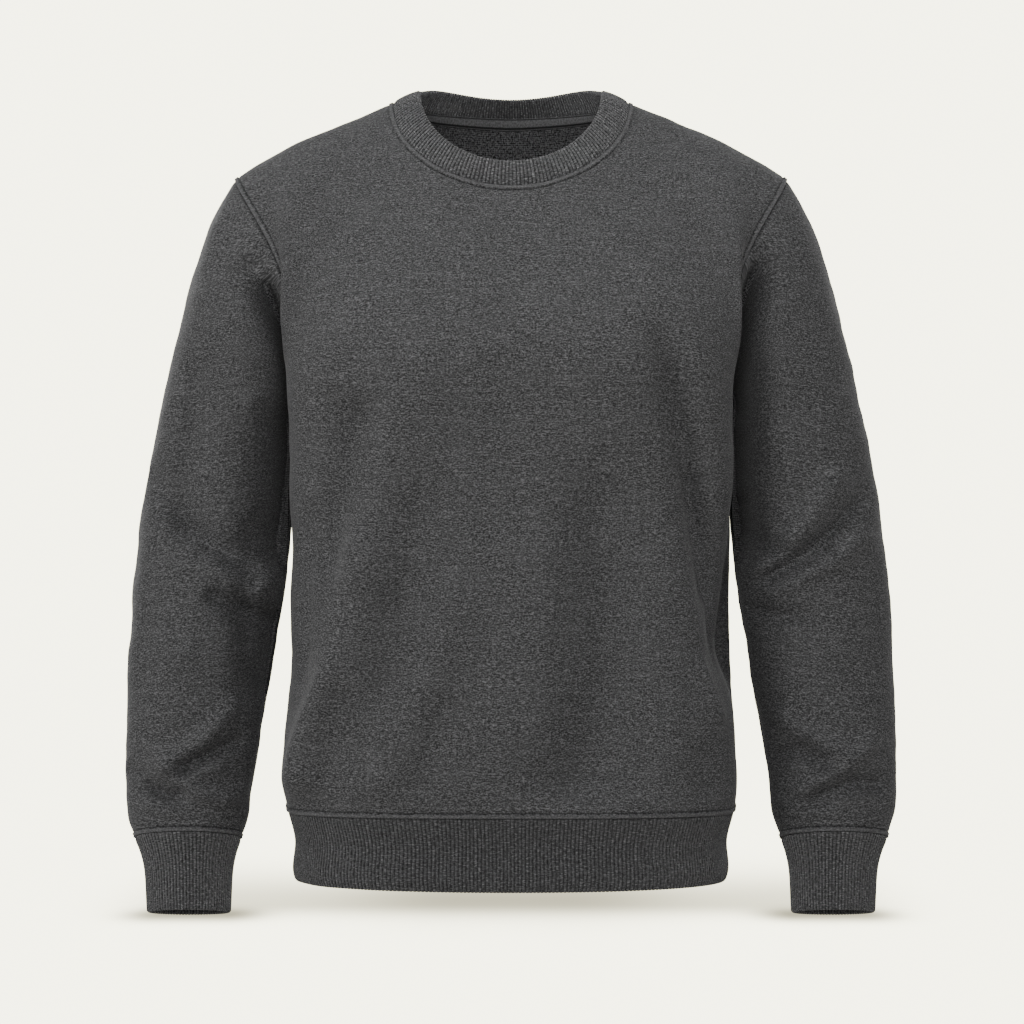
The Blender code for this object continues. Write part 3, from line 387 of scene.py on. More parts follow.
def soft_waves(points, length, seed):
    """Eight plane waves of about one length, in fixed random directions, added up to about -1 to 1."""
    draw = np.random.default_rng(seed)
    directions = unit(draw.normal(size=(8, 3))) * (2.0 * np.pi / length)
    directions = directions * draw.uniform(0.7, 1.4, size=(8, 1))
    return np.sin(points @ directions.T + draw.uniform(0.0, 6.283, size=8)).sum(axis=-1) / 4.0


def uneven(points, lengths, seeds):
    """Soft unevenness of hanging cloth: long waves and short ones."""
    return sum(height * soft_waves(points, length, seed)
               for height, length, seed in zip(WAVE_HEIGHTS, lengths, seeds))


# ================================================================ the body's surface
def seam_dip(from_side):
    """How far the hem seam hangs below its height at the sides: full from 3/10 of a quarter turn away."""
    return HEM_SEAM_DIP * smooth_step(from_side / 0.3)


def body_ring(section, angle, back):
    """A boxy oval: radius (1 + squareness sin^2 2a).

    Its side is pressed in by side_press exp(-(depth / reach)^2).
    """
    row = columns_of(BODY_COLUMNS, section)
    corner = 1.0 + row["squareness"] * np.sin(2.0 * angle) ** 2
    depth = row["back_depth" if back else "front_depth"] * np.sin(angle) * corner
    dent = row["side_press"] * np.exp(-(depth / PRESS_REACH) ** 2)
    across = row["half_width"] * np.cos(angle) * corner - np.sign(np.cos(angle)) * dent
    facing = 1.0 if back else -1.0
    return np.stack([facing * across, facing * depth, row["height"] + 0.0 * angle], axis=-1)


def shoulder_height(across):
    """Height of the shoulder line: a straight slope, with a droop of the sixth power toward the tip."""
    outward = np.hypot(across, CREST_ROUNDING)
    start = np.hypot(NECK_SIDE[0], CREST_ROUNDING)
    end = np.hypot(SHOULDER_TIP[0], CREST_ROUNDING)
    share = np.clip((outward - start) / (end - start), 0.0, 2.0)
    droop = SHOULDER_TIP[2] - (NECK_SIDE[2] - SHOULDER_SLOPE * (end - start))
    return NECK_SIDE[2] - SHOULDER_SLOPE * (outward - start) + droop * share ** 6


def sleeve_axes(section):
    """Centre of a sleeve section, and its half axes toward the outermost point and toward the front."""
    row = columns_of(SLEEVE_COLUMNS, section)
    centre = np.stack([(row["outer_x"] + row["inner_x"]) / 2, row["centre_y"],
                       (row["outer_z"] + row["inner_z"]) / 2], axis=-1)
    outward = np.stack([(row["outer_x"] - row["inner_x"]) / 2, np.zeros_like(row["tilt"]),
                        (row["outer_z"] - row["inner_z"]) / 2], axis=-1)
    lift = np.radians(row["tilt"])
    forward = np.stack([np.zeros_like(lift), -np.cos(lift), np.sin(lift)], axis=-1)
    return centre, outward, forward * row["half_depth"][..., None]


def sleeve_ring(section, angle):
    """centre + outward cos a + forward sin a, carried in over the body by scoop |sin a|^3."""
    row = columns_of(SLEEVE_COLUMNS, section)
    centre, outward, forward = sleeve_axes(section)
    swing = np.sin(angle)
    scoop = np.where(swing > 0, row["front_scoop"], row["back_scoop"]) * np.abs(swing) ** 3
    ring = centre + outward * np.cos(angle)[..., None] + forward * swing[..., None]
    return ring - np.stack([scoop, 0.0 * scoop, 0.0 * scoop], axis=-1)


def armhole(rise, back):
    """The armhole seam on the +X side: 0 is the underarm, 1 the shoulder tip."""
    turn = np.pi * (1.0 - rise)
    return sleeve_ring(np.array(SLEEVE_SECTIONS[0]), -turn if back else turn)


def draped_columns(share, rise, back):
    """Cubics from the underarm section up over the shoulder crest, leaning out beside the armholes."""
    facing = 1.0 if back else -1.0
    start = body_ring(np.array(BODY_SECTIONS[-1]), 0.5 * np.pi * (1.0 + share), back)
    across = -facing * SHOULDER_TIP[0] * share
    crest_depth = SHOULDER_TIP[1] + (NECK_SIDE[1] - SHOULDER_TIP[1]) * (1.0 - share ** 2)
    top = np.stack([across, crest_depth, shoulder_height(across)], axis=-1)
    gain = np.linalg.norm(top - start, axis=-1)
    from_edge = 0.5 * (1.0 - np.abs(share))
    lean = np.radians(UNDERARM_LEAN) * smooth_step(1.0 - from_edge / LEAN_REACH) ** 1.5
    leave = np.stack([0.0 * lean, facing * np.sin(lean), np.cos(lean)], axis=-1)
    leave = leave * (COLUMN_FULLNESS * gain)[..., None]
    neck_roll = BACK_NECK_ROLL if back else FRONT_NECK_ROLL
    roll = SHOULDER_ROLL + (neck_roll - SHOULDER_ROLL) * smooth_step(2.0 * from_edge)
    arrive = np.stack([0.0 * roll, -facing * roll, ROLL_LIFT * roll], axis=-1)
    return curve_between(start, leave, top, arrive, rise[..., None])


def upper_panel(share, rise, back):
    """The draped columns, bent onto the armhole seams, with the soft fold of cloth beside each armhole."""
    facing = 1.0 if back else -1.0
    points = draped_columns(share, rise, back)
    edge = np.where(share < 0.0, -1.0, 1.0)
    side = -facing * edge
    mirror = np.stack([side, np.ones_like(side), np.ones_like(side)], axis=-1)
    off_edge = armhole(rise, back) * mirror - draped_columns(edge, rise, back)
    from_edge = 0.5 * (1.0 - np.abs(share))
    reach = np.array([EDGE_REACH_ACROSS, EDGE_REACH, EDGE_REACH])
    points = points + off_edge * smooth_step(1.0 - from_edge[..., None] / reach)
    fold = np.exp(-((from_edge - ARMPIT_FOLD_PLACE) / ARMPIT_FOLD_WIDTH) ** 2) * smooth_step(from_edge / 0.03)
    fold = fold * smooth_step(rise / 0.35) * smooth_step((1.0 - rise) / 0.75)
    points[..., 0] += (BACK_ARMPIT_FOLD if back else FRONT_ARMPIT_FOLD) * fold * side
    return points


def neck_cut(share, back):
    """Where each column crosses |x / half width|^point + (drop below the side / full drop)^2 = 1."""
    drop = NECK_SIDE[2] - (BACK_NECK_HEIGHT if back else FRONT_NECK_HEIGHT)
    tries = np.linspace(0.3, 1.0, 501)
    points = upper_panel(share[:, None] + 0.0 * tries, tries + 0.0 * share[:, None], back)
    height = (NECK_SIDE[2] - points[..., 2]) / drop
    power = BACK_NECK_POINT if back else 2.0
    over = np.abs(points[..., 0] / NECK_SIDE[0]) ** power + height ** 2 * np.sign(height) - 1.0
    first = np.maximum(np.argmax(over < 0.0, axis=1), 1)
    rows = np.arange(len(share))
    before, after = over[rows, first - 1], over[rows, first]
    crossing = tries[first - 1] + (tries[first] - tries[first - 1]) * before / (before - after)
    return np.where((over < 0.0).any(axis=1), crossing, 1.0)


def fold_relief(points, folds):
    """Each fold is raise exp(-(distance/half width)^p) about its course, dying away toward its two ends.

    p is 2 for a ridge.  A trough has TROUGH_POINT, which makes a sharper crease, and POCKET_POINT where it is
    deeper than POCKET_DEPTH.
    """
    relief = np.zeros(points.shape[:-1])
    place = points[..., (0, 2)]
    for right_width, left_width, raise_by, *course in folds:
        course = np.array(course) / 1000.0
        spans = np.diff(course, axis=0)
        lengths = np.linalg.norm(spans, axis=1)
        passed = along(course)
        best = np.full(relief.shape, np.inf)
        gone = np.zeros(relief.shape)
        turn = np.zeros(relief.shape)
        for index, span in enumerate(spans):
            offset = place - course[index]
            share = np.clip((offset @ span) / lengths[index] ** 2, 0.0, 1.0)
            distance = np.linalg.norm(offset - share[..., None] * span, axis=-1)
            nearer = distance < best
            gone = np.where(nearer, (passed[index] + share * lengths[index]) / passed[-1], gone)
            turn = np.where(nearer, span[0] * offset[..., 1] - span[1] * offset[..., 0], turn)
            best = np.where(nearer, distance, best)
        width = np.where(turn < 0.0, right_width, left_width) / 1000.0
        fade = smooth_step(gone / FOLD_FADE) * smooth_step((1.0 - gone) / FOLD_FADE)
        point = 2.0 if raise_by > 0 else TROUGH_POINT if raise_by > -POCKET_DEPTH else POCKET_POINT
        relief += raise_by / 1000.0 * fade * np.exp(-(best / width) ** point)
    return relief


def fold_direction(normals):
    """The way folds stand out: the normal with its sideways and upward parts cut to a share of themselves."""
    return unit(normals * np.array([SIDEWAYS_SHARE, 1.0, SIDEWAYS_SHARE]))


def band_relief(distance):
    """Across a coverstitched seam: sunk at the seam, a flat raised band, a needle groove, then plain cloth."""
    sunk = -SEAM_SINK * (1.0 - smooth_step(distance / 0.0009))
    band = BAND_RAISE * smooth_step((distance - 0.0002) / 0.0009)
    band = band * (1.0 - smooth_step((distance - BAND_WIDTH + 0.0006) / 0.0008))
    groove = -0.00045 * np.exp(-((distance - BAND_WIDTH - 0.0005) / 0.0006) ** 2)
    return sunk + band + groove


def band_shade(distance):
    """Painted shade across a coverstitched seam: deep at the seam and at the needle line, with a little painted
    highlight on the band between.
    """
    seam = 0.95 * np.exp(-(distance / 0.0007) ** 2)
    needle = 0.62 * np.exp(-((distance - BAND_WIDTH - 0.0004) / 0.0006) ** 2)
    return seam + needle - 0.22 * np.exp(-((distance - 0.5 * BAND_WIDTH) / 0.0014) ** 4)


def groove_shade(distance):
    """Painted shade across a plain seam."""
    return 0.75 * np.exp(-(distance / 0.0008) ** 2)


def groove_relief(distance):
    """Across a plain seam: cloth rolls in to it over 3 mm."""
    return -SEAM_SINK * np.exp(-(distance / 0.0011) ** 2) - 0.0005 * np.exp(-(distance / 0.0035) ** 2)


# ================================================================ meshes
def ring_columns(columns, closed):
    """Index of each column and of the one after it, wrapped round when the grid closes on itself."""
    here = np.arange(columns if closed else columns - 1)
    return here, (here + 1) % columns


def grid_quads(rows, columns, closed, closed_rows=False):
    """Corner indexes of every quad of a grid, and the same in a texture grid with one more row and column."""
    here, following = ring_columns(columns, closed)
    row, row_next = ring_columns(rows, closed_rows)
    row, row_next = row[:, None], row_next[:, None]
    corners = [row * columns + here, row * columns + following, row_next * columns + following,
               row_next * columns + here]
    wide = columns + 1
    chart = [row * wide + here, row * wide + here + 1, (row + 1) * wide + here + 1, (row + 1) * wide + here]
    return (np.stack(np.broadcast_arrays(*corners), axis=-1).reshape(-1, 4),
            np.stack(np.broadcast_arrays(*chart), axis=-1).reshape(-1, 4))


def put_object(name, data):
    """An object for a mesh, a light or a camera, linked into the scene."""
    thing = bpy.data.objects.new(name, data)
    bpy.context.scene.collection.objects.link(thing)
    return thing


def put_mesh(name, points, groups, chart, materials, sharp=None, shade=None):
    """A mesh object from whole arrays: groups of faces as (corners, texture corners, material number).

    shade is painted shade: how far each point lies in a seam's groove, from 0 to 1, and under 0 where a painted
    highlight lies on the band beside it.
    """
    mesh = bpy.data.meshes.new(name)
    sizes = np.concatenate([np.full(len(corners), corners.shape[1]) for corners, _, _ in groups])
    corners = np.concatenate([corners.ravel() for corners, _, _ in groups])
    places = np.concatenate([texture.ravel() for _, texture, _ in groups])
    finish = np.concatenate([np.full(len(corners), number) for corners, _, number in groups])
    mesh.vertices.add(len(points))
    mesh.vertices.foreach_set("co", np.ascontiguousarray(points, dtype=np.float32).ravel())
    mesh.loops.add(len(corners))
    mesh.loops.foreach_set("vertex_index", corners.astype(np.int32))
    mesh.polygons.add(len(sizes))
    mesh.polygons.foreach_set("loop_start", np.concatenate(([0], np.cumsum(sizes)[:-1])).astype(np.int32))
    mesh.polygons.foreach_set("material_index", finish.astype(np.int32))
    mesh.update(calc_edges=True)
    layer = mesh.uv_layers.new(name="cloth")
    layer.data.foreach_set("uv", chart[places].astype(np.float32).ravel())
    # painted shade in the seams' grooves and painted highlight on their bands, which the cloth's colour reads
    if shade is not None:
        mesh.attributes.new("seam_shade", "FLOAT", "POINT").data.foreach_set("value", shade.astype(np.float32))
    for material in materials:
        mesh.materials.append(material)
    mesh.polygons.foreach_set("use_smooth", np.ones(len(sizes), dtype=bool))
    if sharp is not None:
        mesh.set_sharp_from_angle(angle=np.radians(sharp))
    mesh.validate()
    piece = put_object(name, mesh)
    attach(piece, "root")
    return piece


def rim_triangles(outer, inner):
    """Triangles between an outer line of points and an inner line that has every second of them."""
    first, middle, last = outer[:-2:2], outer[1:-1:2], outer[2::2]
    near, far = inner[:-1], inner[1:]
    return np.concatenate([np.stack([first, near, middle], axis=-1), np.stack([middle, near, far], axis=-1),
                           np.stack([middle, far, last], axis=-1)])


def shell(name, outer, inner, chart, closed, flip, materials, shade):
    """A cloth wall: the outer grid, an inner grid with every second line of it, and the cut edges between."""
    rows, columns = outer.shape[:2]
    inner = inner[::2, ::2]
    inner_rows, inner_columns = inner.shape[:2]
    count = rows * columns
    outer_faces, outer_chart = grid_quads(rows, columns, closed)
    inner_faces = count + grid_quads(inner_rows, inner_columns, closed)[0]
    coarse = np.arange(rows * (columns + 1)).reshape(rows, columns + 1)[::2, ::2]
    texture_row, texture_column = np.divmod(grid_quads(inner_rows, inner_columns, closed)[1],
                                            inner_columns + 1)
    inner_chart = coarse[texture_row, np.minimum(texture_column, coarse.shape[1] - 1)]
    index = np.arange(count).reshape(rows, columns)
    inner_index = count + np.arange(inner_rows * inner_columns).reshape(inner_rows, inner_columns)
    wrap = (lambda line: np.append(line, line[0])) if closed else (lambda line: line)
    rims = [rim_triangles(wrap(index[0]), wrap(inner_index[0])),
            rim_triangles(wrap(index[-1]), wrap(inner_index[-1]))[:, ::-1]]
    if not closed:
        rims += [rim_triangles(index[:, 0], inner_index[:, 0])[:, ::-1],
                 rim_triangles(index[:, -1], inner_index[:, -1])]
    rims = np.concatenate(rims)
    turn = -1 if flip else 1
    groups = [(outer_faces[:, ::turn], outer_chart[:, ::turn], 0),
              (inner_faces[:, ::-turn], inner_chart[:, ::-turn], 1),
              (rims[:, ::turn], np.zeros_like(rims), 1)]
    points = np.concatenate([outer.reshape(-1, 3), inner.reshape(-1, 3)])
    shade = np.concatenate([shade.ravel(), np.zeros(inner_rows * inner_columns)])
    return put_mesh(name, points, groups, chart.reshape(-1, 2), materials, sharp=SHARP_ANGLE, shade=shade)


def tube(name, grid, chart, flip, materials):
    """A folded band: the grid closes on itself round the garment, and round its own section."""
    rows, columns = grid.shape[:2]
    faces, texture = grid_quads(rows, columns, True, closed_rows=True)
    turn = -1 if flip else 1
    return put_mesh(name, grid.reshape(-1, 3), [(faces[:, ::turn], texture[:, ::turn], 0)],
                    chart.reshape(-1, 2), materials)


def grid_normals(points, closed=False):
    """Cross product of the directions along the columns' round and along the rows."""
    round_step = (np.roll(points, -1, axis=1) - np.roll(points, 1, axis=1)) if closed else \
        np.gradient(points, axis=1)
    return unit(np.cross(round_step, np.gradient(points, axis=0)))


def round_normals(points):
    """Normals of a grid that closes on itself round the garment."""
    return grid_normals(points, closed=True)


# ================================================================ front and back
def spread(start, end, step):
    """An even count of equal gaps of about one step, as places from start to end without the first."""
    count = max(2, int(2 * round((end - start) / step / 2)))
    return np.linspace(start, end, count + 1)[1:]


def keep_parity(line, odd, after):
    """The line, with one more value halfway in a gap where its count isn't odd, or even, as asked."""
    if len(line) % 2 == odd:
        return line
    return np.insert(line, after, 0.5 * (line[after - 1] + line[after]))


def panel_columns(edge_speed):
    """Column places from -1 to 1, for rows whose cloth runs edge_speed metres per share beside the seam."""
    corner = NECK_SHARE + SEAM_STEPS[::-1] / SHOULDER_TIP[0]
    gaps = int(2 * round((SHOULDER_TIP[0] * (1.0 - corner[0]) - SEAM_STEPS[-1]) / PANEL_STEP / 2))
    neck = NECK_SHARE * np.cos(np.linspace(0.0, np.pi, NECK_GAPS + 1))
    edge = 1.0 - SEAM_STEPS / edge_speed[:, None]
    middle = edge[:, -1:] + (corner[0] - edge[:, -1:]) * np.linspace(0.0, 1.0, gaps + 1)[1:-1]
    side = np.concatenate([edge, middle, corner + 0.0 * edge[:, :1]], axis=1)
    inside = neck[1:-1] + 0.0 * edge[:, :1]
    return np.concatenate([-side, -inside, side[:, ::-1]], axis=1)


def speed_at_edge(surface, other):
    """Metres of cloth for one unit of share, beside the panel's edge."""
    edge = np.ones_like(other)
    return np.linalg.norm(surface(edge * (1 - SPEED_STEP), other) - surface(edge, other), axis=-1) / SPEED_STEP


class Panel:
    """Grid of the front or the back, with the lines of its seams."""

    def __init__(self, back, folds):
        self.back = back
        self.lay_grid()
        self.ease_underarm_level()
        self.fold(folds)
        self.raise_bands()
        self.set_chart()

    def lower(self, share, height):
        """The body below the underarm, its hem seam hanging a little in the middle."""
        ring = body_ring(table_at(BODY_SECTIONS, height, key=0), 0.5 * np.pi * (1.0 + share), self.back)
        fade = 1.0 - smooth_step((height - HEM_SEAM_HEIGHT) / DIP_HEIGHT)
        ring[..., 2] -= seam_dip(1.0 - np.abs(share)) * fade
        return ring

    def upper(self, share, rise):
        """The panel above the underarm."""
        return upper_panel(share, rise, self.back)

    def lay_grid(self):
        """Rows from the hem seam to the neck and shoulder seams, and their normals."""
        heights = np.concatenate([HEM_SEAM_HEIGHT + SEAM_STEPS,
                                  spread(HEM_SEAM_HEIGHT + SEAM_STEPS[-1], UNDERARM_HEIGHT, PANEL_STEP)])
        heights = keep_parity(heights, 1, len(SEAM_STEPS))
        lower_share = panel_columns(speed_at_edge(self.lower, heights))
        low = self.lower(lower_share, heights[:, None] + 0.0 * lower_share)

        top_share = panel_columns(np.full(1, SHOULDER_TIP[0]))[0]
        cut = np.ones_like(top_share)
        inner = np.abs(top_share) < NECK_SHARE - 1e-9
        cut[inner] = neck_cut(top_share[inner], self.back)
        gained = self.upper(top_share, cut) - self.upper(top_share, cut - SPEED_STEP)
        near_top = cut - SEAM_STEPS[::-1][:, None] / (np.linalg.norm(gained, axis=-1) / SPEED_STEP)
        even = spread(0.0, UPPER_LENGTH, PANEL_STEP) / UPPER_LENGTH
        rise = np.concatenate([even[:, None] * near_top[0], near_top[1:]])
        upper_share = panel_columns(speed_at_edge(self.upper, rise[:, 0]))
        high = self.upper(upper_share, rise)

        self.points = np.concatenate([low, high])
        self.share = np.concatenate([lower_share, upper_share])
        self.rows_below = len(heights)
        self.above_hem = np.concatenate([heights - HEM_SEAM_HEIGHT, np.ones(len(high))])[:, None]
        self.neck = slice(np.flatnonzero(inner)[0] - 1, np.flatnonzero(inner)[-1] + 2)

        self.normals = grid_normals(self.points)
        tighter = upper_share * (1.0 - NORMAL_STEP)
        self.normals[self.rows_below:] = unit(np.cross(
            self.upper(tighter + NORMAL_STEP, rise) - self.upper(tighter - NORMAL_STEP, rise),
            self.upper(upper_share, rise + NORMAL_STEP) - self.upper(upper_share, rise - NORMAL_STEP)))

    def ease_underarm_level(self):
        """Running means up each column soften the bend where the two surfaces meet level with the underarm."""
        level = self.points[..., 2] - UNDERARM_HEIGHT
        weight = 1.0 - smooth_step(np.abs(level) / EASE_REACH)
        weight[:, (0, -1)] = 0.0
        rows = slice(self.rows_below - EASE_ROWS, self.rows_below + EASE_ROWS)
        for _ in range(EASE_ROUNDS):
            part = self.points[rows]
            mean = 0.25 * part[:-2] + 0.5 * part[1:-1] + 0.25 * part[2:]
            part[1:-1] += weight[rows][1:-1, :, None] * (mean - part[1:-1])

    def fold(self, folds):
        """The folds and the soft waves, which both die away toward the seams."""
        from_edge = 0.5 * (1.0 - np.abs(self.share))
        above_hem = self.points[..., 2] - HEM_SEAM_HEIGHT

        def quiet(side_reach, hem_reach):
            """0 at the side seams and the hem seam, 1 farther away from them than the reaches."""
            return smooth_step(from_edge / side_reach) * smooth_step(above_hem / hem_reach)

        relief = fold_relief(self.points, folds) * quiet(*FOLD_QUIET)
        folded = fold_direction(self.normals) * relief[..., None]
        calm = smooth_step(seam_distance(self.points, self.neck_line()) / NECK_CALM)
        relief = quiet(*WAVE_QUIET) * calm * uneven(self.points, PANEL_WAVES, (5 + self.back, 15 + self.back))
        self.plain = self.points + folded + self.normals * relief[..., None]

    def set_chart(self):
        """Places on the flat cloth: girth at the underarm across, and height.

        Above the underarm, cloth that leans back over the shoulder counts with a share of its depth.
        """
        line_share = np.linspace(0.0, 1.0, 401)
        girth = along(self.lower(line_share, np.full(401, UNDERARM_HEIGHT)))
        u = np.sign(self.share) * np.interp(np.abs(self.share), line_share, girth)
        depth = self.points[..., 1] * (1.0 if self.back else -1.0)
        over = smooth_step((self.points[..., 2] + 0.26) / 0.12)
        self.chart = np.stack([u, self.points[..., 2] - 0.45 * (depth - 0.12) * over], axis=-1)

    def neck_line(self):
        """The neck seam of this panel, from one side to the other."""
        return self.points[-1, self.neck]

    def neck_edge(self):
        """The sewn edge of the cloth along the neck."""
        return self.outer[-1, self.neck]

    def armhole_lines(self):
        """The two armhole seams, from underarm to shoulder tip."""
        rows = slice(self.rows_below - 1, None)
        return self.points[rows, 0], self.points[rows, -1]

    def raise_bands(self):
        """Lifts the stitched bands at neck, armholes and hem, and sinks the plain shoulder and side seams."""
        points = self.points
        neck = seam_distance(points, self.neck_line())
        relief = np.where(neck < BAND_REACH, band_relief(neck), 0.0)
        # painted shade in the seams' grooves and painted highlight on the stitched bands, for the cloth's colour
        shade = band_shade(neck)
        for line in self.armhole_lines():
            reach = seam_distance(points, line)
            relief = np.where((reach < BAND_REACH) & (neck > 0.010), band_relief(reach), relief)
            shade += band_shade(reach)
        hem = self.above_hem + 0.0 * relief
        relief = np.where(hem < BAND_REACH, band_relief(hem), relief)
        shade += band_shade(hem)
        count = len(SEAM_STEPS)
        for columns, reach in ((slice(0, count), SEAM_STEPS), (slice(-count, None), SEAM_STEPS[::-1])):
            below = smooth_step((UNDERARM_HEIGHT - 0.004 - points[:self.rows_below, columns, 2]) / 0.01)
            relief[:self.rows_below, columns] += groove_relief(reach) * below
            shade[:self.rows_below, columns] += groove_shade(reach) * below
        from_top = SEAM_STEPS[::-1][:, None]
        shoulder = np.ones(points.shape[1])
        shoulder[self.neck] = 0.0
        relief[-count:] += (neck[-count:] > 0.0005) * groove_relief(from_top) * shoulder
        shade[-count:] += 0.6 * groove_shade(from_top) * shoulder
        self.shade = np.clip(shade, LIGHTEST_SHADE, 1.0)
        self.outer = self.plain + self.normals * relief[..., None]

    def build(self, name, materials):
        """The finished cloth wall."""
        inner = self.plain - (FLEECE_WALL + WALL_EASE) * self.normals
        chart = np.concatenate([self.chart, self.chart[:, -1:]], axis=1)
        return shell(name, self.outer, inner, chart, False, False, materials, self.shade)

    def stitch_rows(self):
        """Two rows of stitches on the band along the neck, the armholes and the hem."""
        found = []
        for distance in STITCH_LINES:
            step = int(np.argmin(np.abs(SEAM_STEPS - distance)))
            above = slice(self.rows_below, None)
            for place in ((-1 - step, self.neck), step, (above, step), (above, -1 - step)):
                found.append(stitch_row(self.outer[place], self.normals[place]))
        return found


# ================================================================ sleeves
def rings_at(table, where, columns, key=None):
    """Table rows at the given places, one for each point of a grid with that many columns."""
    return table_at(table, where, key)[:, None, :] + np.zeros((1, columns, 1))


class Sleeve:
    """Grid of one sleeve: rows from the armhole to the cuff, columns round it from the underarm seam."""

    def __init__(self, side, front_folds, back_folds):
        self.mirror = np.array([side, 1.0, 1.0])
        self.lay_grid()
        self.fold(front_folds, back_folds)
        self.sew()
        self.set_chart()

    def lay_grid(self):
        """Even rows and columns, closer together beside the seams."""
        fine = np.linspace(0.0, len(SLEEVE_SECTIONS) - 1, 2001)
        length = along(sleeve_axes(table_at(SLEEVE_SECTIONS, fine))[0])
        groove = SEAM_STEPS[SEAM_STEPS < BAND_WIDTH - 0.0001]
        down = np.concatenate([groove, spread(groove[-1], length[-1] - SEAM_STEPS[-1], SLEEVE_STEP),
                               (length[-1] - SEAM_STEPS[::-1])[1:]])
        self.down = keep_parity(down, 1, len(groove))
        self.up = self.down[-1] - self.down
        near = groove / SLEEVE_RADIUS
        turn = np.concatenate([near, np.linspace(near[-1], 2 * np.pi - near[-1], SLEEVE_GAPS + 1)[1:-1],
                               2 * np.pi - near[::-1]])[:-1]
        self.turn = keep_parity(turn, 0, len(near)) - np.pi
        places = np.interp(self.down, length, fine)
        self.middle = sleeve_axes(table_at(SLEEVE_SECTIONS, places))[0]
        self.points = sleeve_ring(rings_at(SLEEVE_SECTIONS, places, len(self.turn)), self.turn)
        self.normals = round_normals(self.points)

    def fold(self, front_folds, back_folds):
        """Folds pushed along Y, and soft waves.

        A hollow in the front stops short of the sleeve's back: what goes beyond its room is bent back by
        softness ln(1 + exp(excess / softness)).
        """
        facing = self.normals[..., 1]
        seen = self.points * self.mirror
        ends = smooth_step(self.down / SLEEVE_QUIET[0]) * smooth_step(self.up / SLEEVE_QUIET[1])
        folded = fold_relief(seen, back_folds) * smooth_step(facing / 0.5)
        folded -= fold_relief(seen, front_folds) * smooth_step(-facing / 0.4)
        room = HOLLOW_ROOM + HOLLOW_ROOM_GAIN * (self.middle[:, None, 1] - self.points[..., 1])
        excess = np.minimum((folded - room) / HOLLOW_SOFTNESS, 40.0)
        self.folded = folded - (facing < 0.0) * HOLLOW_SOFTNESS * np.log1p(np.exp(excess))
        relief = uneven(seen, SLEEVE_WAVES, (31, 37))
        self.plain = self.points + self.normals * (relief * ends[:, None])[..., None]
        self.plain[..., 1] += self.folded * ends[:, None]

    def sew(self):
        """Grooves at the armhole and the underarm seam, and the stitched band above the cuff."""
        down, up = self.down[:, None], self.up[:, None]
        underarm = SLEEVE_RADIUS * (np.pi - np.abs(self.turn))
        below = smooth_step((down - 0.006) / 0.01)
        seam = groove_relief(down) + band_relief(up) + groove_relief(underarm) * below
        # painted shade in the armhole and underarm grooves and painted highlight on the band above the cuff, for
        # the cloth's colour
        shade = 0.5 * groove_shade(down) + band_shade(up) + groove_shade(underarm) * below
        self.shade = np.clip(shade, LIGHTEST_SHADE, 1.0)
        self.outer = self.plain + self.normals * seam[..., None]

    def set_chart(self):
        """Places on the flat cloth: length round the folded sleeve, and height square to its middle line.

        Near the armhole half of a fold's depth is added, as cloth runs down a hollow's wall there.
        """
        drift = np.clip(np.gradient(self.middle[:, 0], self.middle[:, 2]), -DRIFT_LIMIT, DRIFT_LIMIT)[:, None]
        v = self.points[..., 2] - drift * (self.points[..., 0] - self.middle[:, None, 0])
        v = v + 0.5 * self.folded * (1.0 - smooth_step((self.down - 0.03) / 0.05))[:, None]
        ring = np.concatenate([self.plain[:, -1:], self.plain, self.plain[:, :1]], axis=1)
        run = np.cumsum(np.linalg.norm(np.diff(ring, axis=1), axis=2), axis=1)
        u = run - run[:, len(self.turn) // 2, None]
        self.chart = np.stack([u, np.concatenate([v, v[:, :1]], axis=1)], axis=-1)

    def build(self, name, materials):
        """The finished cloth wall."""
        inner = self.plain - (FLEECE_WALL + WALL_EASE) * self.normals
        return shell(name, self.outer * self.mirror, inner * self.mirror, self.chart, True, self.mirror[0] < 0,
                     materials, self.shade)

    def stitch_rows(self):
        """Two rows of stitches on the band above the cuff."""
        found = []
        for distance in STITCH_LINES:
            row = int(np.argmin(np.abs(self.up - distance)))
            found.append(stitch_row(*(np.concatenate([grid[row], grid[row, :1]]) * self.mirror
                                      for grid in (self.outer, self.normals))))
        return found


# ================================================================ ribs
def full_turn(count):
    """Angles evenly round a full turn."""
    return np.linspace(0.0, 2.0 * np.pi, count + 1)[:-1]


def rib_profile(columns, ribs):
    """Across the ribs: 1 - (1 - |cos|)^2, a round rib with a narrow groove on each side."""
    phase = np.arange(columns) * ribs / columns
    return 1.0 - (1.0 - np.abs(np.cos(np.pi * phase))) ** 2


def band_raise(distance):
    """How far ribs stand out: pinched at the seam, full from 4 mm away."""
    return 0.3 * smooth_step(distance / 0.0008) + 0.7 * smooth_step(distance / 0.004)


def band_chart(grid, ribs):
    """Texture places: one rib pitch for each rib round the band, and length along its section."""
    run = np.cumsum(np.linalg.norm(np.diff(grid, axis=0), axis=2), axis=0)
    run = np.concatenate([np.zeros((1, grid.shape[1])), run, run[-1:] + 0.002])
    run = np.concatenate([run, run[:, :1]], axis=1)
    across = np.linspace(0.0, ribs * RIB_PITCH, grid.shape[1] + 1)
    return np.stack(np.broadcast_arrays(across, -run), axis=-1)


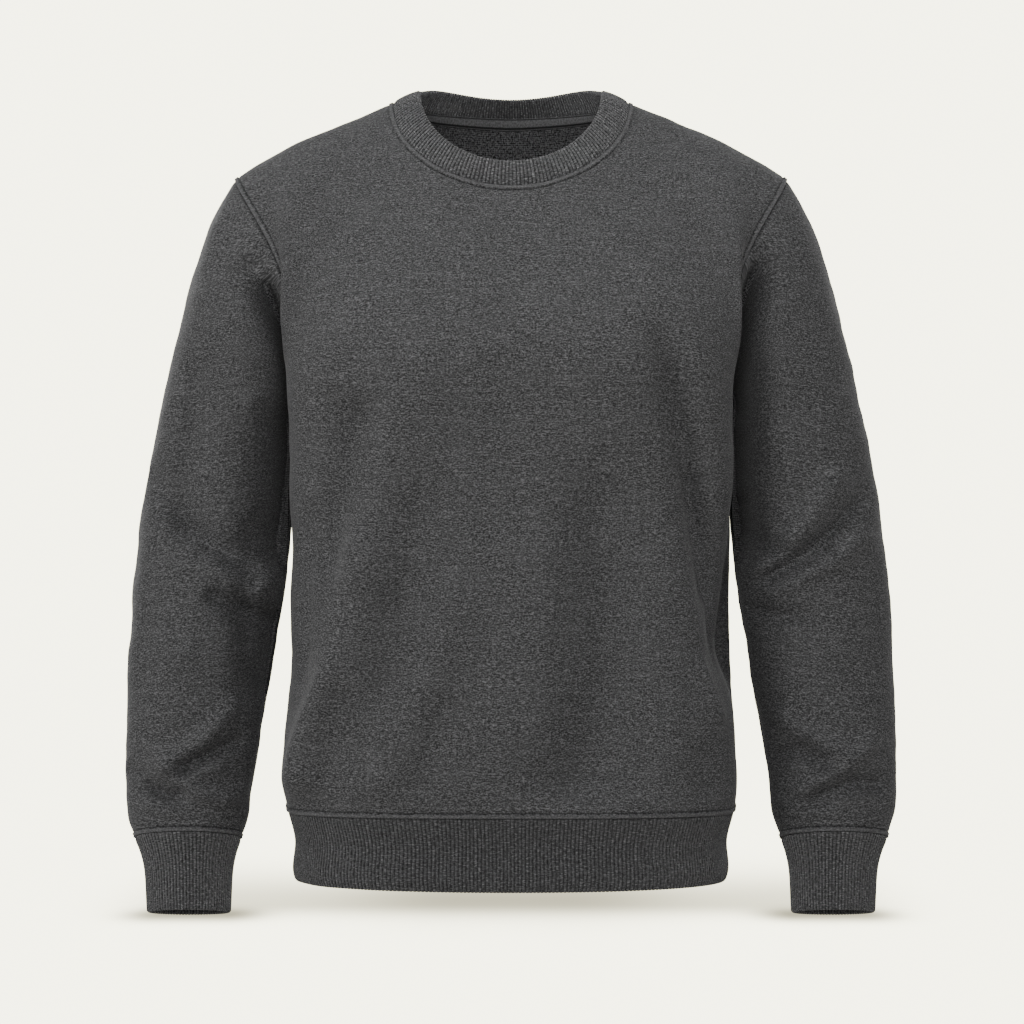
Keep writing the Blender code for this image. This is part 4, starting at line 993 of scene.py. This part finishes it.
def folded_band(name, ribs, materials, plain, normals, height, rows, drop, raise_by=RIB_RAISE, side=1.0,
                flip=False):
    """A band of rib folded at its free edge: down the outside, round the fold and up the inside.

    plain(share) gives the band's own surface from the seam (0) to the fold (1), height away.  rows says where
    its even rows start, and how many there are.  The fold is a half circle of half the wall's thickness,
    carried past share 1 along drop.
    """
    shares = np.concatenate([RIB_ROWS, np.linspace(rows[0], height - FOLD_GAP, rows[1])]) / height
    raised = band_raise(shares * height)
    surface = plain(shares)
    outward = normals(surface)
    rib = rib_profile(surface.shape[1], ribs)
    outside = surface + outward * (raise_by * raised[:, None] * rib)[..., None]
    bend = np.linspace(0.0, np.pi, 9)[1:-1][:, None, None]
    radius = 0.5 * RIB_WALL + 0.5 * raise_by * rib[:, None] * raised[-1]
    centre = surface[-1] - outward[-1] * (0.5 * RIB_WALL)
    turned = centre + radius * (outward[-1] * np.cos(bend) + drop * np.sin(bend))
    back_up = slice(None, None, -2)
    depth = RIB_WALL + 0.6 * raise_by * raised[back_up][:, None] * rib
    inside = surface[back_up] - outward[back_up] * depth[..., None]
    grid = np.concatenate([outside, turned, inside]) * np.array([side, 1.0, 1.0])
    return tube(name, grid, band_chart(grid, ribs), flip, materials)


def hem_band(materials):
    """The waistband: boxy ovals between the hem seam and the fold, hanging lower in the middle of each side."""
    columns = HEM_RIBS * COLUMNS_PER_RIB
    angle = full_turn(columns)
    from_side = np.minimum(angle % np.pi, np.pi - angle % np.pi) / (0.5 * np.pi)
    bottom, top = HEM_SECTIONS[0][0], HEM_SECTIONS[-1][0]

    def plain(shares):
        section = rings_at(HEM_SECTIONS, top + (bottom - top) * shares, columns, key=0)
        whole = np.where((angle <= np.pi)[:, None], body_ring(section, angle, False),
                         body_ring(section, angle - np.pi, True))
        whole[..., 2] -= HEM_FRONT_DROP * shares[:, None] * np.sin(angle) ** 2
        whole[..., 2] -= seam_dip(from_side) * (1.0 - shares[:, None])
        whole += HEM_WAVE_HEIGHT * soft_waves(whole, HEM_WAVE, 71)[..., None] * np.array([1.0, 1.0, 0.0])
        return whole

    def level_normals(surface):
        normals = -round_normals(surface)
        normals[..., 2] = 0.0
        return unit(normals)

    return folded_band("hem_band", HEM_RIBS, materials, plain, level_normals, top - bottom, (0.0065, 18),
                       np.array([0.0, 0.0, -1.0]), flip=True)


def cuff_band(side, name, materials):
    """A cuff: ovals that draw in from the sleeve to the wrist, each square to the forearm."""
    columns = CUFF_RIBS * COLUMNS_PER_RIB
    fine = np.linspace(0.0, len(CUFF_SECTIONS) - 1, 401)
    length = along(sleeve_axes(table_at(CUFF_SECTIONS, fine))[0])

    def plain(shares):
        places = np.interp(shares * length[-1], length, fine)
        return sleeve_ring(rings_at(CUFF_SECTIONS, places, columns), full_turn(columns))

    outward, forward = sleeve_axes(np.array(CUFF_SECTIONS[-1]))[1:]
    return folded_band(name, CUFF_RIBS, materials, plain, round_normals, length[-1], (0.0065, 20),
                       unit(np.cross(outward, forward)), side=side, flip=side < 0)


def collar_band(front, back, materials):
    """The collar: straight lines from the neck seam to the rim, bowed out a little, ribs square to the seam."""
    half = COLLAR_RIBS * COLUMNS_PER_RIB // 2
    seam = np.concatenate([even_line(panel.neck_edge(), half)[:-1] for panel in (front, back)])
    angle = np.linspace(0.0, np.pi, 800)
    bow = np.sin(angle)
    nearer = np.minimum(angle, np.pi - angle) / (0.5 * np.pi)
    rims = []
    for middle, order, lift in ((RIM_FRONT, 1, 0.0), (RIM_BACK, -1, RIM_LIFT)):
        height = RIM_SIDE[2] + (middle[1] - RIM_SIDE[2]) * bow + lift * np.sin(np.pi * nearer ** 0.75) ** 2
        depth = RIM_SIDE[1] + (middle[0] - RIM_SIDE[1]) * bow ** NECK_ROUNDNESS
        line = np.stack([-RIM_SIDE[0] * np.cos(angle), depth, height], axis=1)
        rims.append(even_line(line, half)[::order][:-1])
    rim = np.concatenate(rims)

    def plain(shares):
        surface = seam + (rim - seam) * shares[:, None, None]
        return surface + round_normals(surface) * (COLLAR_BULGE * np.sin(np.pi * shares))[:, None, None]

    return folded_band("collar_band", COLLAR_RIBS, materials, plain, round_normals, COLLAR_HEIGHT, (0.0062, 10),
                       unit(rim - seam), raise_by=COLLAR_RIB_RAISE)


def neck_tape(back, materials):
    """The tape inside the back neck: a soft flat roll over the neck seam, made from the back's inner points."""
    row = -len(SEAM_STEPS) - 1
    normals = back.normals[-1, back.neck]
    inner = back.neck_line() - TAPE_DEPTH * normals
    down = unit(back.plain[row, back.neck] - TAPE_DEPTH * back.normals[row, back.neck] - inner)
    turn = full_turn(TAPE_SIDES)[:, None, None]
    centre = inner + down * (0.5 * TAPE_WIDTH - TAPE_ABOVE_SEAM)
    grid = (centre - down * (0.5 * TAPE_WIDTH) * np.cos(turn)
            - normals * (TAPE_HALF_WALL + TAPE_HALF_WALL * np.sin(turn)))
    length = along(back.neck_line())
    chart = np.broadcast_arrays(np.append(length, length[-1]),
                                np.linspace(0.0, 2.0 * TAPE_WIDTH, TAPE_SIDES + 1)[:, None])
    faces, texture = grid_quads(TAPE_SIDES, grid.shape[1], False, closed_rows=True)
    index = np.arange(TAPE_SIDES * grid.shape[1]).reshape(TAPE_SIDES, -1)
    caps = np.stack([index[:, 0], index[::-1, -1]])
    groups = [(faces, texture, 0), (caps, np.zeros_like(caps), 0)]
    return put_mesh("neck_tape_roll", grid.reshape(-1, 3), groups, np.stack(chart, axis=-1).reshape(-1, 2),
                    materials, sharp=SHARP_ANGLE)


# ================================================================ stitches
def stitch_row(line, normals):
    """Even places along a line: middle, direction and outward normal of each stitch."""
    length = along(line)[-1]
    count = max(1, int(length / STITCH_PITCH))
    wanted = (np.arange(count) + 0.5) * length / count
    direction = unit(read_line(line, wanted + STITCH_NUDGE) - read_line(line, wanted - STITCH_NUDGE))
    return read_line(line, wanted), direction, unit(read_line(line, wanted, normals))


def stitches(name, rows, materials):
    """Each stitch is a thread of six sides on a low arch, its ends sunk in the cloth."""
    middle, direction, outward = (np.concatenate(part) for part in zip(*rows))
    sideways = unit(np.cross(direction, outward))
    share = np.linspace(-1.0, 1.0, 5)
    reach = 0.5 * STITCH_SHARE * STITCH_PITCH * share
    arch = STITCH_ARCH * (1.0 - share ** 2) - STITCH_SINK
    thick = THREAD * np.array(THREAD_TAPER)
    turn = full_turn(6)
    spine = (middle[:, None, :] + direction[:, None, :] * reach[None, :, None]
             + outward[:, None, :] * arch[None, :, None])
    ring = (sideways[:, None, None, :] * np.cos(turn)[None, None, :, None]
            + outward[:, None, None, :] * np.sin(turn)[None, None, :, None])
    points = spine[:, :, None, :] + ring * thick[None, :, None, None]
    start = (np.arange(len(middle)) * 30)[:, None, None]
    groups = []
    for faces in (grid_quads(5, 6, True)[0], np.array([[5, 4, 3, 2, 1, 0], [24, 25, 26, 27, 28, 29]])):
        faces = (faces[None] + start).reshape(-1, faces.shape[1])
        groups.append((faces, np.zeros_like(faces), 0))
    return put_mesh(name, points.reshape(-1, 3), groups, np.zeros((1, 2)), materials)


# ================================================================ materials
class Wire:
    """A value in a material: arithmetic on it adds Math nodes."""

    def __init__(self, finish, socket):
        self.finish = finish
        self.socket = socket

    def math(self, operation, *others):
        """One Math node, this value first."""
        return self.finish.add("ShaderNodeMath", {"operation": operation}, dict(enumerate((self, *others))))

    def __add__(self, other):
        return self.math("ADD", other)

    def __sub__(self, other):
        return self.math("SUBTRACT", other)

    def __rsub__(self, other):
        return self.finish.add("ShaderNodeMath", {"operation": "SUBTRACT"}, {0: other, 1: self})

    def __mul__(self, other):
        return self.math("MULTIPLY", other)

    def eased(self, low, high):
        """0 below low, 1 above high, and a soft S between."""
        return self.finish.add("ShaderNodeMapRange", {"interpolation_type": "SMOOTHSTEP", "clamp": True},
                               {"Value": self, "From Min": low, "From Max": high})


class Finish:
    """A material under work."""

    def __init__(self, name, roughness, sheen=0.0):
        self.material = bpy.data.materials.new(name)
        self.material.use_nodes = True
        self.nodes = self.material.node_tree.nodes
        self.links = self.material.node_tree.links
        self.shader = self.nodes["Principled BSDF"]
        for socket, value in (("Roughness", roughness), ("Specular IOR Level", 0.25), ("Sheen Weight", sheen),
                              ("Sheen Roughness", 0.35)):
            self.shader.inputs[socket].default_value = value

    def fill(self, socket, value):
        """Links a wire to a socket, or sets the socket's own value."""
        if isinstance(value, Wire):
            self.links.new(value.socket, socket)
        else:
            socket.default_value = value

    def add(self, kind, settings, inputs, output=0):
        """Any node: its settings first, then the values and links of its sockets."""
        node = self.nodes.new(kind)
        for key, value in settings.items():
            setattr(node, key, value)
        for key, value in inputs.items():
            self.fill(node.inputs[key], value)
        return Wire(self, node.outputs[output])

    def parts(self, place):
        """The three coordinates of a place."""
        split = self.nodes.new("ShaderNodeSeparateXYZ")
        self.links.new(place.socket, split.inputs[0])
        return [Wire(self, part) for part in split.outputs]

    def cloth_place(self):
        """Place on the cloth in metres: across and along."""
        return self.parts(self.add("ShaderNodeUVMap", {"uv_map": "cloth"}, {}))[:2]

    def noise(self, x, y, z, detail, distortion=0.0):
        """Noise of about one unit of its coordinates."""
        place = self.add("ShaderNodeCombineXYZ", {}, {0: x, 1: y, 2: z})
        return self.add("ShaderNodeTexNoise", {"noise_dimensions": "3D"},
                        {"Vector": place, "Scale": 1.0, "Detail": detail, "Roughness": 0.55,
                         "Distortion": distortion})

    def layered(self, ground, *layers):
        """A grey ground under layers, each a share from 0 to 1 and a grey."""
        tone = grey(ground)
        for share, value in layers:
            tone = self.add("ShaderNodeMix", {"data_type": "RGBA"}, {0: share, 6: tone, 7: grey(value)}, 2)
        return tone

    def bump(self, height, distance, strength):
        """Bump from a height from 0 to 1."""
        relief = self.add("ShaderNodeBump", {}, {"Strength": strength, "Distance": distance, "Height": height})
        self.fill(self.shader.inputs["Normal"], relief)

    def colour(self, wire):
        """Base colour."""
        self.fill(self.shader.inputs["Base Color"], wire)
        return self.material


def grey(value):
    """A charcoal of one brightness, a touch cool."""
    return (value, value, value * 1.02, 1.0)


def heather(name, dark, middle, light):
    """Heather jersey: short wavy strands of light and dark fibre lie across the cloth, their rows bent here and
    there, with fine specks between them.  Painted shade darkens the seams' grooves, and a painted highlight
    lightens the stitched bands beside them."""
    finish = Finish(name, 0.93, 0.18)
    u, v = finish.cloth_place()
    bend = finish.noise(u * 85.0, v * 85.0, 3.0, 1.0) - 0.5
    turn = finish.noise(u * 240.0, v * 240.0, 13.0, 1.0) - 0.5
    row = v + bend * 0.0050 + turn * 0.0016
    strands = finish.noise(u * 240.0, row * 1000.0, 1.0, 2.0, 0.3)
    specks = finish.noise(u * 620.0, v * 760.0, 5.0, 1.0)
    streaks = finish.noise(u * 30.0, row * 290.0, 21.0, 2.0)
    patches = finish.noise(u * 30.0, v * 46.0, 9.0, 3.0)
    # painted shade of the seams' grooves, and below 0 a painted highlight on their bands
    shade = finish.add("ShaderNodeAttribute", {"attribute_name": "seam_shade"}, {}, output=2)
    tone = finish.layered(
        dark,
        (strands.eased(0.30, 0.54), middle), (strands.eased(0.50, 0.74), light),
        (specks.eased(0.48, 0.72) * 0.62, light), ((1.0 - specks.eased(0.28, 0.50)) * 0.80, dark),
        ((1.0 - streaks.eased(0.36, 0.62)) * 0.17, dark), (streaks.eased(0.50, 0.72) * 0.10, light),
        (patches.eased(0.35, 0.75) * 0.20, middle * 1.5),
        # painted shade in the grooves, then painted highlight on the bands
        (shade.eased(0.0, 1.0), 0.006), ((0.0 - shade).math("MAXIMUM", 0.0), light))
    finish.bump(strands * 0.6 + specks * 0.6, 0.0006, 0.75)
    return finish.colour(tone)


def rib_knit(name, dark, middle, light, painted_furrow_shade):
    """Rib: rounded wales of stacked stitches, flecked with heather fibre, with painted shade in the furrows
    between them.
    """
    finish = Finish(name, 0.93, 0.45)
    u, v = finish.cloth_place()
    wale = (u * (np.pi / RIB_PITCH)).math("COSINE").math("ABSOLUTE")
    fibre = finish.noise(u * 620.0, v * 520.0, 2.0, 2.0, 0.4)
    loops = finish.noise(u * 330.0, v * 900.0, 6.0, 1.0)
    flecks = finish.noise(u * 150.0, v * 150.0, 8.0, 1.0)
    tone = finish.layered(
        dark, (fibre.eased(0.36, 0.66), middle), (loops.eased(0.52, 0.74) * 0.75, light),
        (flecks.eased(0.45, 0.75) * 0.25, middle * 1.3),
        # painted shade in the furrows between the wales
        ((1.0 - wale.eased(0.10, 0.80)) * painted_furrow_shade, dark * 0.22))
    finish.bump(wale * 0.8 + loops * 0.3, 0.0008, 0.8)
    return finish.colour(tone)


def brushed_inside(name):
    """The fleece inside: small slanting loops in a lattice, matted with short fibre, darker than the face."""
    finish = Finish(name, 1.0, 0.1)
    u, v = finish.cloth_place()
    fuzz = finish.noise(u * 480.0, v * 480.0, 2.0, 2.0, 0.5)
    bend = (finish.noise(u * 160.0, v * 160.0, 7.0, 1.0) - 0.5) * 0.004
    first = ((u + v * 0.8 + bend) * 1900.0).math("SINE")
    second = ((u - v * 0.8 + bend) * 1900.0).math("SINE")
    lattice = first * second * 0.5 + 0.5
    finish.bump(fuzz * 0.5 + lattice * 0.5, 0.0007, 0.9)
    return finish.colour(finish.layered(0.009, ((lattice * 0.34 + fuzz * 1.05).eased(0.50, 0.92), 0.225)))


def tape_twill(name):
    """Herringbone tape: slanting ridges that turn back every 2.5 mm, and two lines of painted shade along it, at
    the seam along its top and in a groove below its middle.
    """
    finish = Finish(name, 0.85)
    u, v = finish.cloth_place()
    zigzag = (u * 400.0).math("PINGPONG", 1.0)
    ridge = ((zigzag * 0.0012 + v) * (6.2832 / 0.0009)).math("SINE") * 0.5 + 0.5
    fibre = finish.noise(u * 700.0, v * 700.0, 3.0, 2.0)
    # two lines of painted shade: at the seam along the top, and in a groove below the middle
    lines = [((1.0 - (v - place).math("ABSOLUTE").eased(0.3 * half, half)) * share, 0.008)
             for place, half, share in ((0.0020, 0.0012, 0.80), (0.0088, 0.0014, 0.90))]
    finish.bump(ridge, 0.0003, 0.6)
    return finish.colour(finish.layered(0.060, ((ridge * 0.4 + fibre).eased(0.35, 0.95), 0.270), *lines))


def thread(name):
    """Sewing thread: charcoal with a faint twist."""
    finish = Finish(name, 0.6)
    place = finish.add("ShaderNodeTexCoord", {}, {}, output=3)
    grain = finish.add("ShaderNodeTexNoise", {}, {"Vector": place, "Scale": 3000.0, "Detail": 1.0})
    return finish.colour(finish.layered(0.085, (grain, 0.150)))


# ================================================================ stage
def seen_and_lit(tree, seen, lit, output):
    """Joins two shaders: one is what is seen of a surface, the other is the light it gives to the garment."""
    path = tree.nodes.new("ShaderNodeLightPath")
    joined = tree.nodes.new("ShaderNodeMixShader")
    tree.links.new(path.outputs["Is Camera Ray"], joined.inputs[0])
    tree.links.new(lit.outputs[0], joined.inputs[1])
    tree.links.new(seen.outputs[0], joined.inputs[2])
    tree.links.new(joined.outputs[0], tree.nodes[output].inputs[0])


def soft_spot(x, y, centre_x, centre_y, half_length, across, near, far, strength):
    """A soft painted shadow spot: full over a stretch of length 2 half_length along X, falling as exp(-d^2) off
    its ends and, at two different rates, to the front and to the back of its line."""
    beyond = ((x - centre_x).math("ABSOLUTE") - half_length).math("MAXIMUM", 0.0) * (1.0 / across)
    depth = y - centre_y
    front = depth.math("MINIMUM", 0.0) * (1.0 / near)
    behind = depth.math("MAXIMUM", 0.0) * (1.0 / far)
    return ((beyond * beyond + front * front + behind * behind) * -1.0).math("EXPONENT") * strength


def studio_floor():
    """A pale floor that runs on into a pale surround, with a soft shadow of the garment painted in its colour,
    not cast by it.
    """
    finish = Finish("pale_floor", 0.9)
    x, y, _ = finish.parts(finish.add("ShaderNodeTexCoord", {}, {}, output=3))
    # painted shadow: the spots' darkness, taken off the pale colour that the camera sees
    depth = soft_spot(x, y, *SHADOW_SPOTS[0])
    for spot in SHADOW_SPOTS[1:]:
        depth = depth + soft_spot(x, y, *spot)
    depth = depth * -1.0
    bands = (depth, depth * 1.02, depth * 1.05)
    tint = finish.add("ShaderNodeCombineColor", {}, {channel: band.math("EXPONENT") * PALE[channel]
                                                     for channel, band in enumerate(bands)})
    seen, bounce = (finish.nodes.new("ShaderNodeEmission") for _ in range(2))
    finish.links.new(tint.socket, seen.inputs["Color"])
    bounce.inputs["Color"].default_value = (1.0, 0.98, 0.94, 1.0)
    bounce.inputs["Strength"].default_value = FLOOR_GLOW
    seen_and_lit(finish.material.node_tree, seen, bounce, "Material Output")
    mesh = bpy.data.meshes.new("studio_floor")
    corners = ((-1, -1), (1, -1), (1, 1), (-1, 1))
    mesh.from_pydata([(FLOOR_SIZE * x, FLOOR_SIZE * y, FLOOR_HEIGHT) for x, y in corners], [], [(0, 1, 2, 3)])
    mesh.materials.append(finish.material)
    put_object("studio_floor", mesh)


def studio_light():
    """A pale surround that gives little light of its own, and softboxes turned to the garment's middle."""
    world = bpy.data.worlds.new("studio")
    bpy.context.scene.world = world
    world.use_nodes = True
    seen = world.node_tree.nodes["Background"]
    seen.inputs["Color"].default_value = PALE
    fill = world.node_tree.nodes.new("ShaderNodeBackground")
    fill.inputs["Color"].default_value = (1.0, 1.0, 1.0, 1.0)
    fill.inputs["Strength"].default_value = WORLD_FILL
    seen_and_lit(world.node_tree, seen, fill, "World Output")

    for name, around, above, away, size, power in SOFTBOXES:
        light = bpy.data.lights.new(name, "AREA")
        light.shape = "SQUARE"
        light.size = size
        light.energy = power
        lamp = put_object(name, light)
        around, above = np.radians(around), np.radians(above)
        way = Vector((np.sin(around) * np.cos(above), -np.cos(around) * np.cos(above), np.sin(above)))
        lamp.location = Vector((0.0, 0.0, LIGHT_AIM_HEIGHT)) + way * away
        lamp.rotation_euler = (-way).to_track_quat("-Z", "Y").to_euler()


def camera():
    """Square to the front, at the height of the middle of the picture."""
    data = bpy.data.cameras.new("camera")
    data.sensor_width = 36.0
    data.lens = 36.0 * -EYE[1] / PICTURE_WIDTH
    eye = put_object("camera", data)
    eye.location = EYE
    eye.rotation_euler = (np.pi / 2, 0.0, 0.0)
    bpy.context.scene.camera = eye


camera()
studio_floor()
studio_light()

FLEECE = heather("heather_fleece", 0.016, 0.066, 0.215)
RIB = rib_knit("heather_rib", 0.038, 0.097, 0.250, 0.45)
SNUG_RIB = rib_knit("stretched_rib", 0.043, 0.120, 0.325, 0.50)
COLLAR_RIB = rib_knit("collar_rib", 0.041, 0.130, 0.365, 0.64)
INSIDE = brushed_inside("brushed_inside")
TAPE = tape_twill("tape_twill")
THREAD_FINISH = thread("sewing_thread")

front = Panel(False, FRONT_FOLDS)
back = Panel(True, BACK_FOLDS)
left = Sleeve(+1, LEFT_SLEEVE_FRONT_FOLDS, LEFT_SLEEVE_BACK_FOLDS)
right = Sleeve(-1, RIGHT_SLEEVE_FRONT_FOLDS, RIGHT_SLEEVE_BACK_FOLDS)

front_cloth = front.build("front_cloth", [FLEECE, INSIDE])
back_cloth = back.build("back_cloth", [FLEECE, INSIDE])
left_cloth = left.build("sleeve_left_cloth", [FLEECE, INSIDE])
right_cloth = right.build("sleeve_right_cloth", [FLEECE, INSIDE])
hem = hem_band([RIB])
cuff_left = cuff_band(+1, "cuff_left_band", [SNUG_RIB])
cuff_right = cuff_band(-1, "cuff_right_band", [SNUG_RIB])
collar = collar_band(front, back, [COLLAR_RIB])
tape = neck_tape(back, [TAPE])
body_thread = stitches("body_stitches", front.stitch_rows() + back.stitch_rows(), [THREAD_FINISH])
cuff_thread = stitches("cuff_stitches", left.stitch_rows() + right.stitch_rows(), [THREAD_FINISH])

# ================================================================ the CAD part that each piece stands for, hidden in the render
# piece, node, slot, flat size of what shows, and its area where that isn't the whole rectangle
for piece, node, slot, flat, area in (
    (front_cloth, "front_panel", "fleece", (0.600, 0.640), 0.325),
    (back_cloth, "back_panel", "fleece", (0.600, 0.660), 0.335),
    (left_cloth, "sleeve_left", "fleece", (0.470, 0.610), 0.198),
    (right_cloth, "sleeve_right", "fleece", (0.470, 0.610), 0.198),
    (hem, "hem_rib", "rib", (1.060, 0.067), None),
    (cuff_left, "cuff_left", "rib", (0.235, 0.066), None),
    (cuff_right, "cuff_right", "rib", (0.235, 0.066), None),
    (collar, "neck_rib", "rib", (0.540, 0.025), None),
    (tape, "neck_tape", "tape", (0.280, 0.010), None),
):
    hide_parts(node)
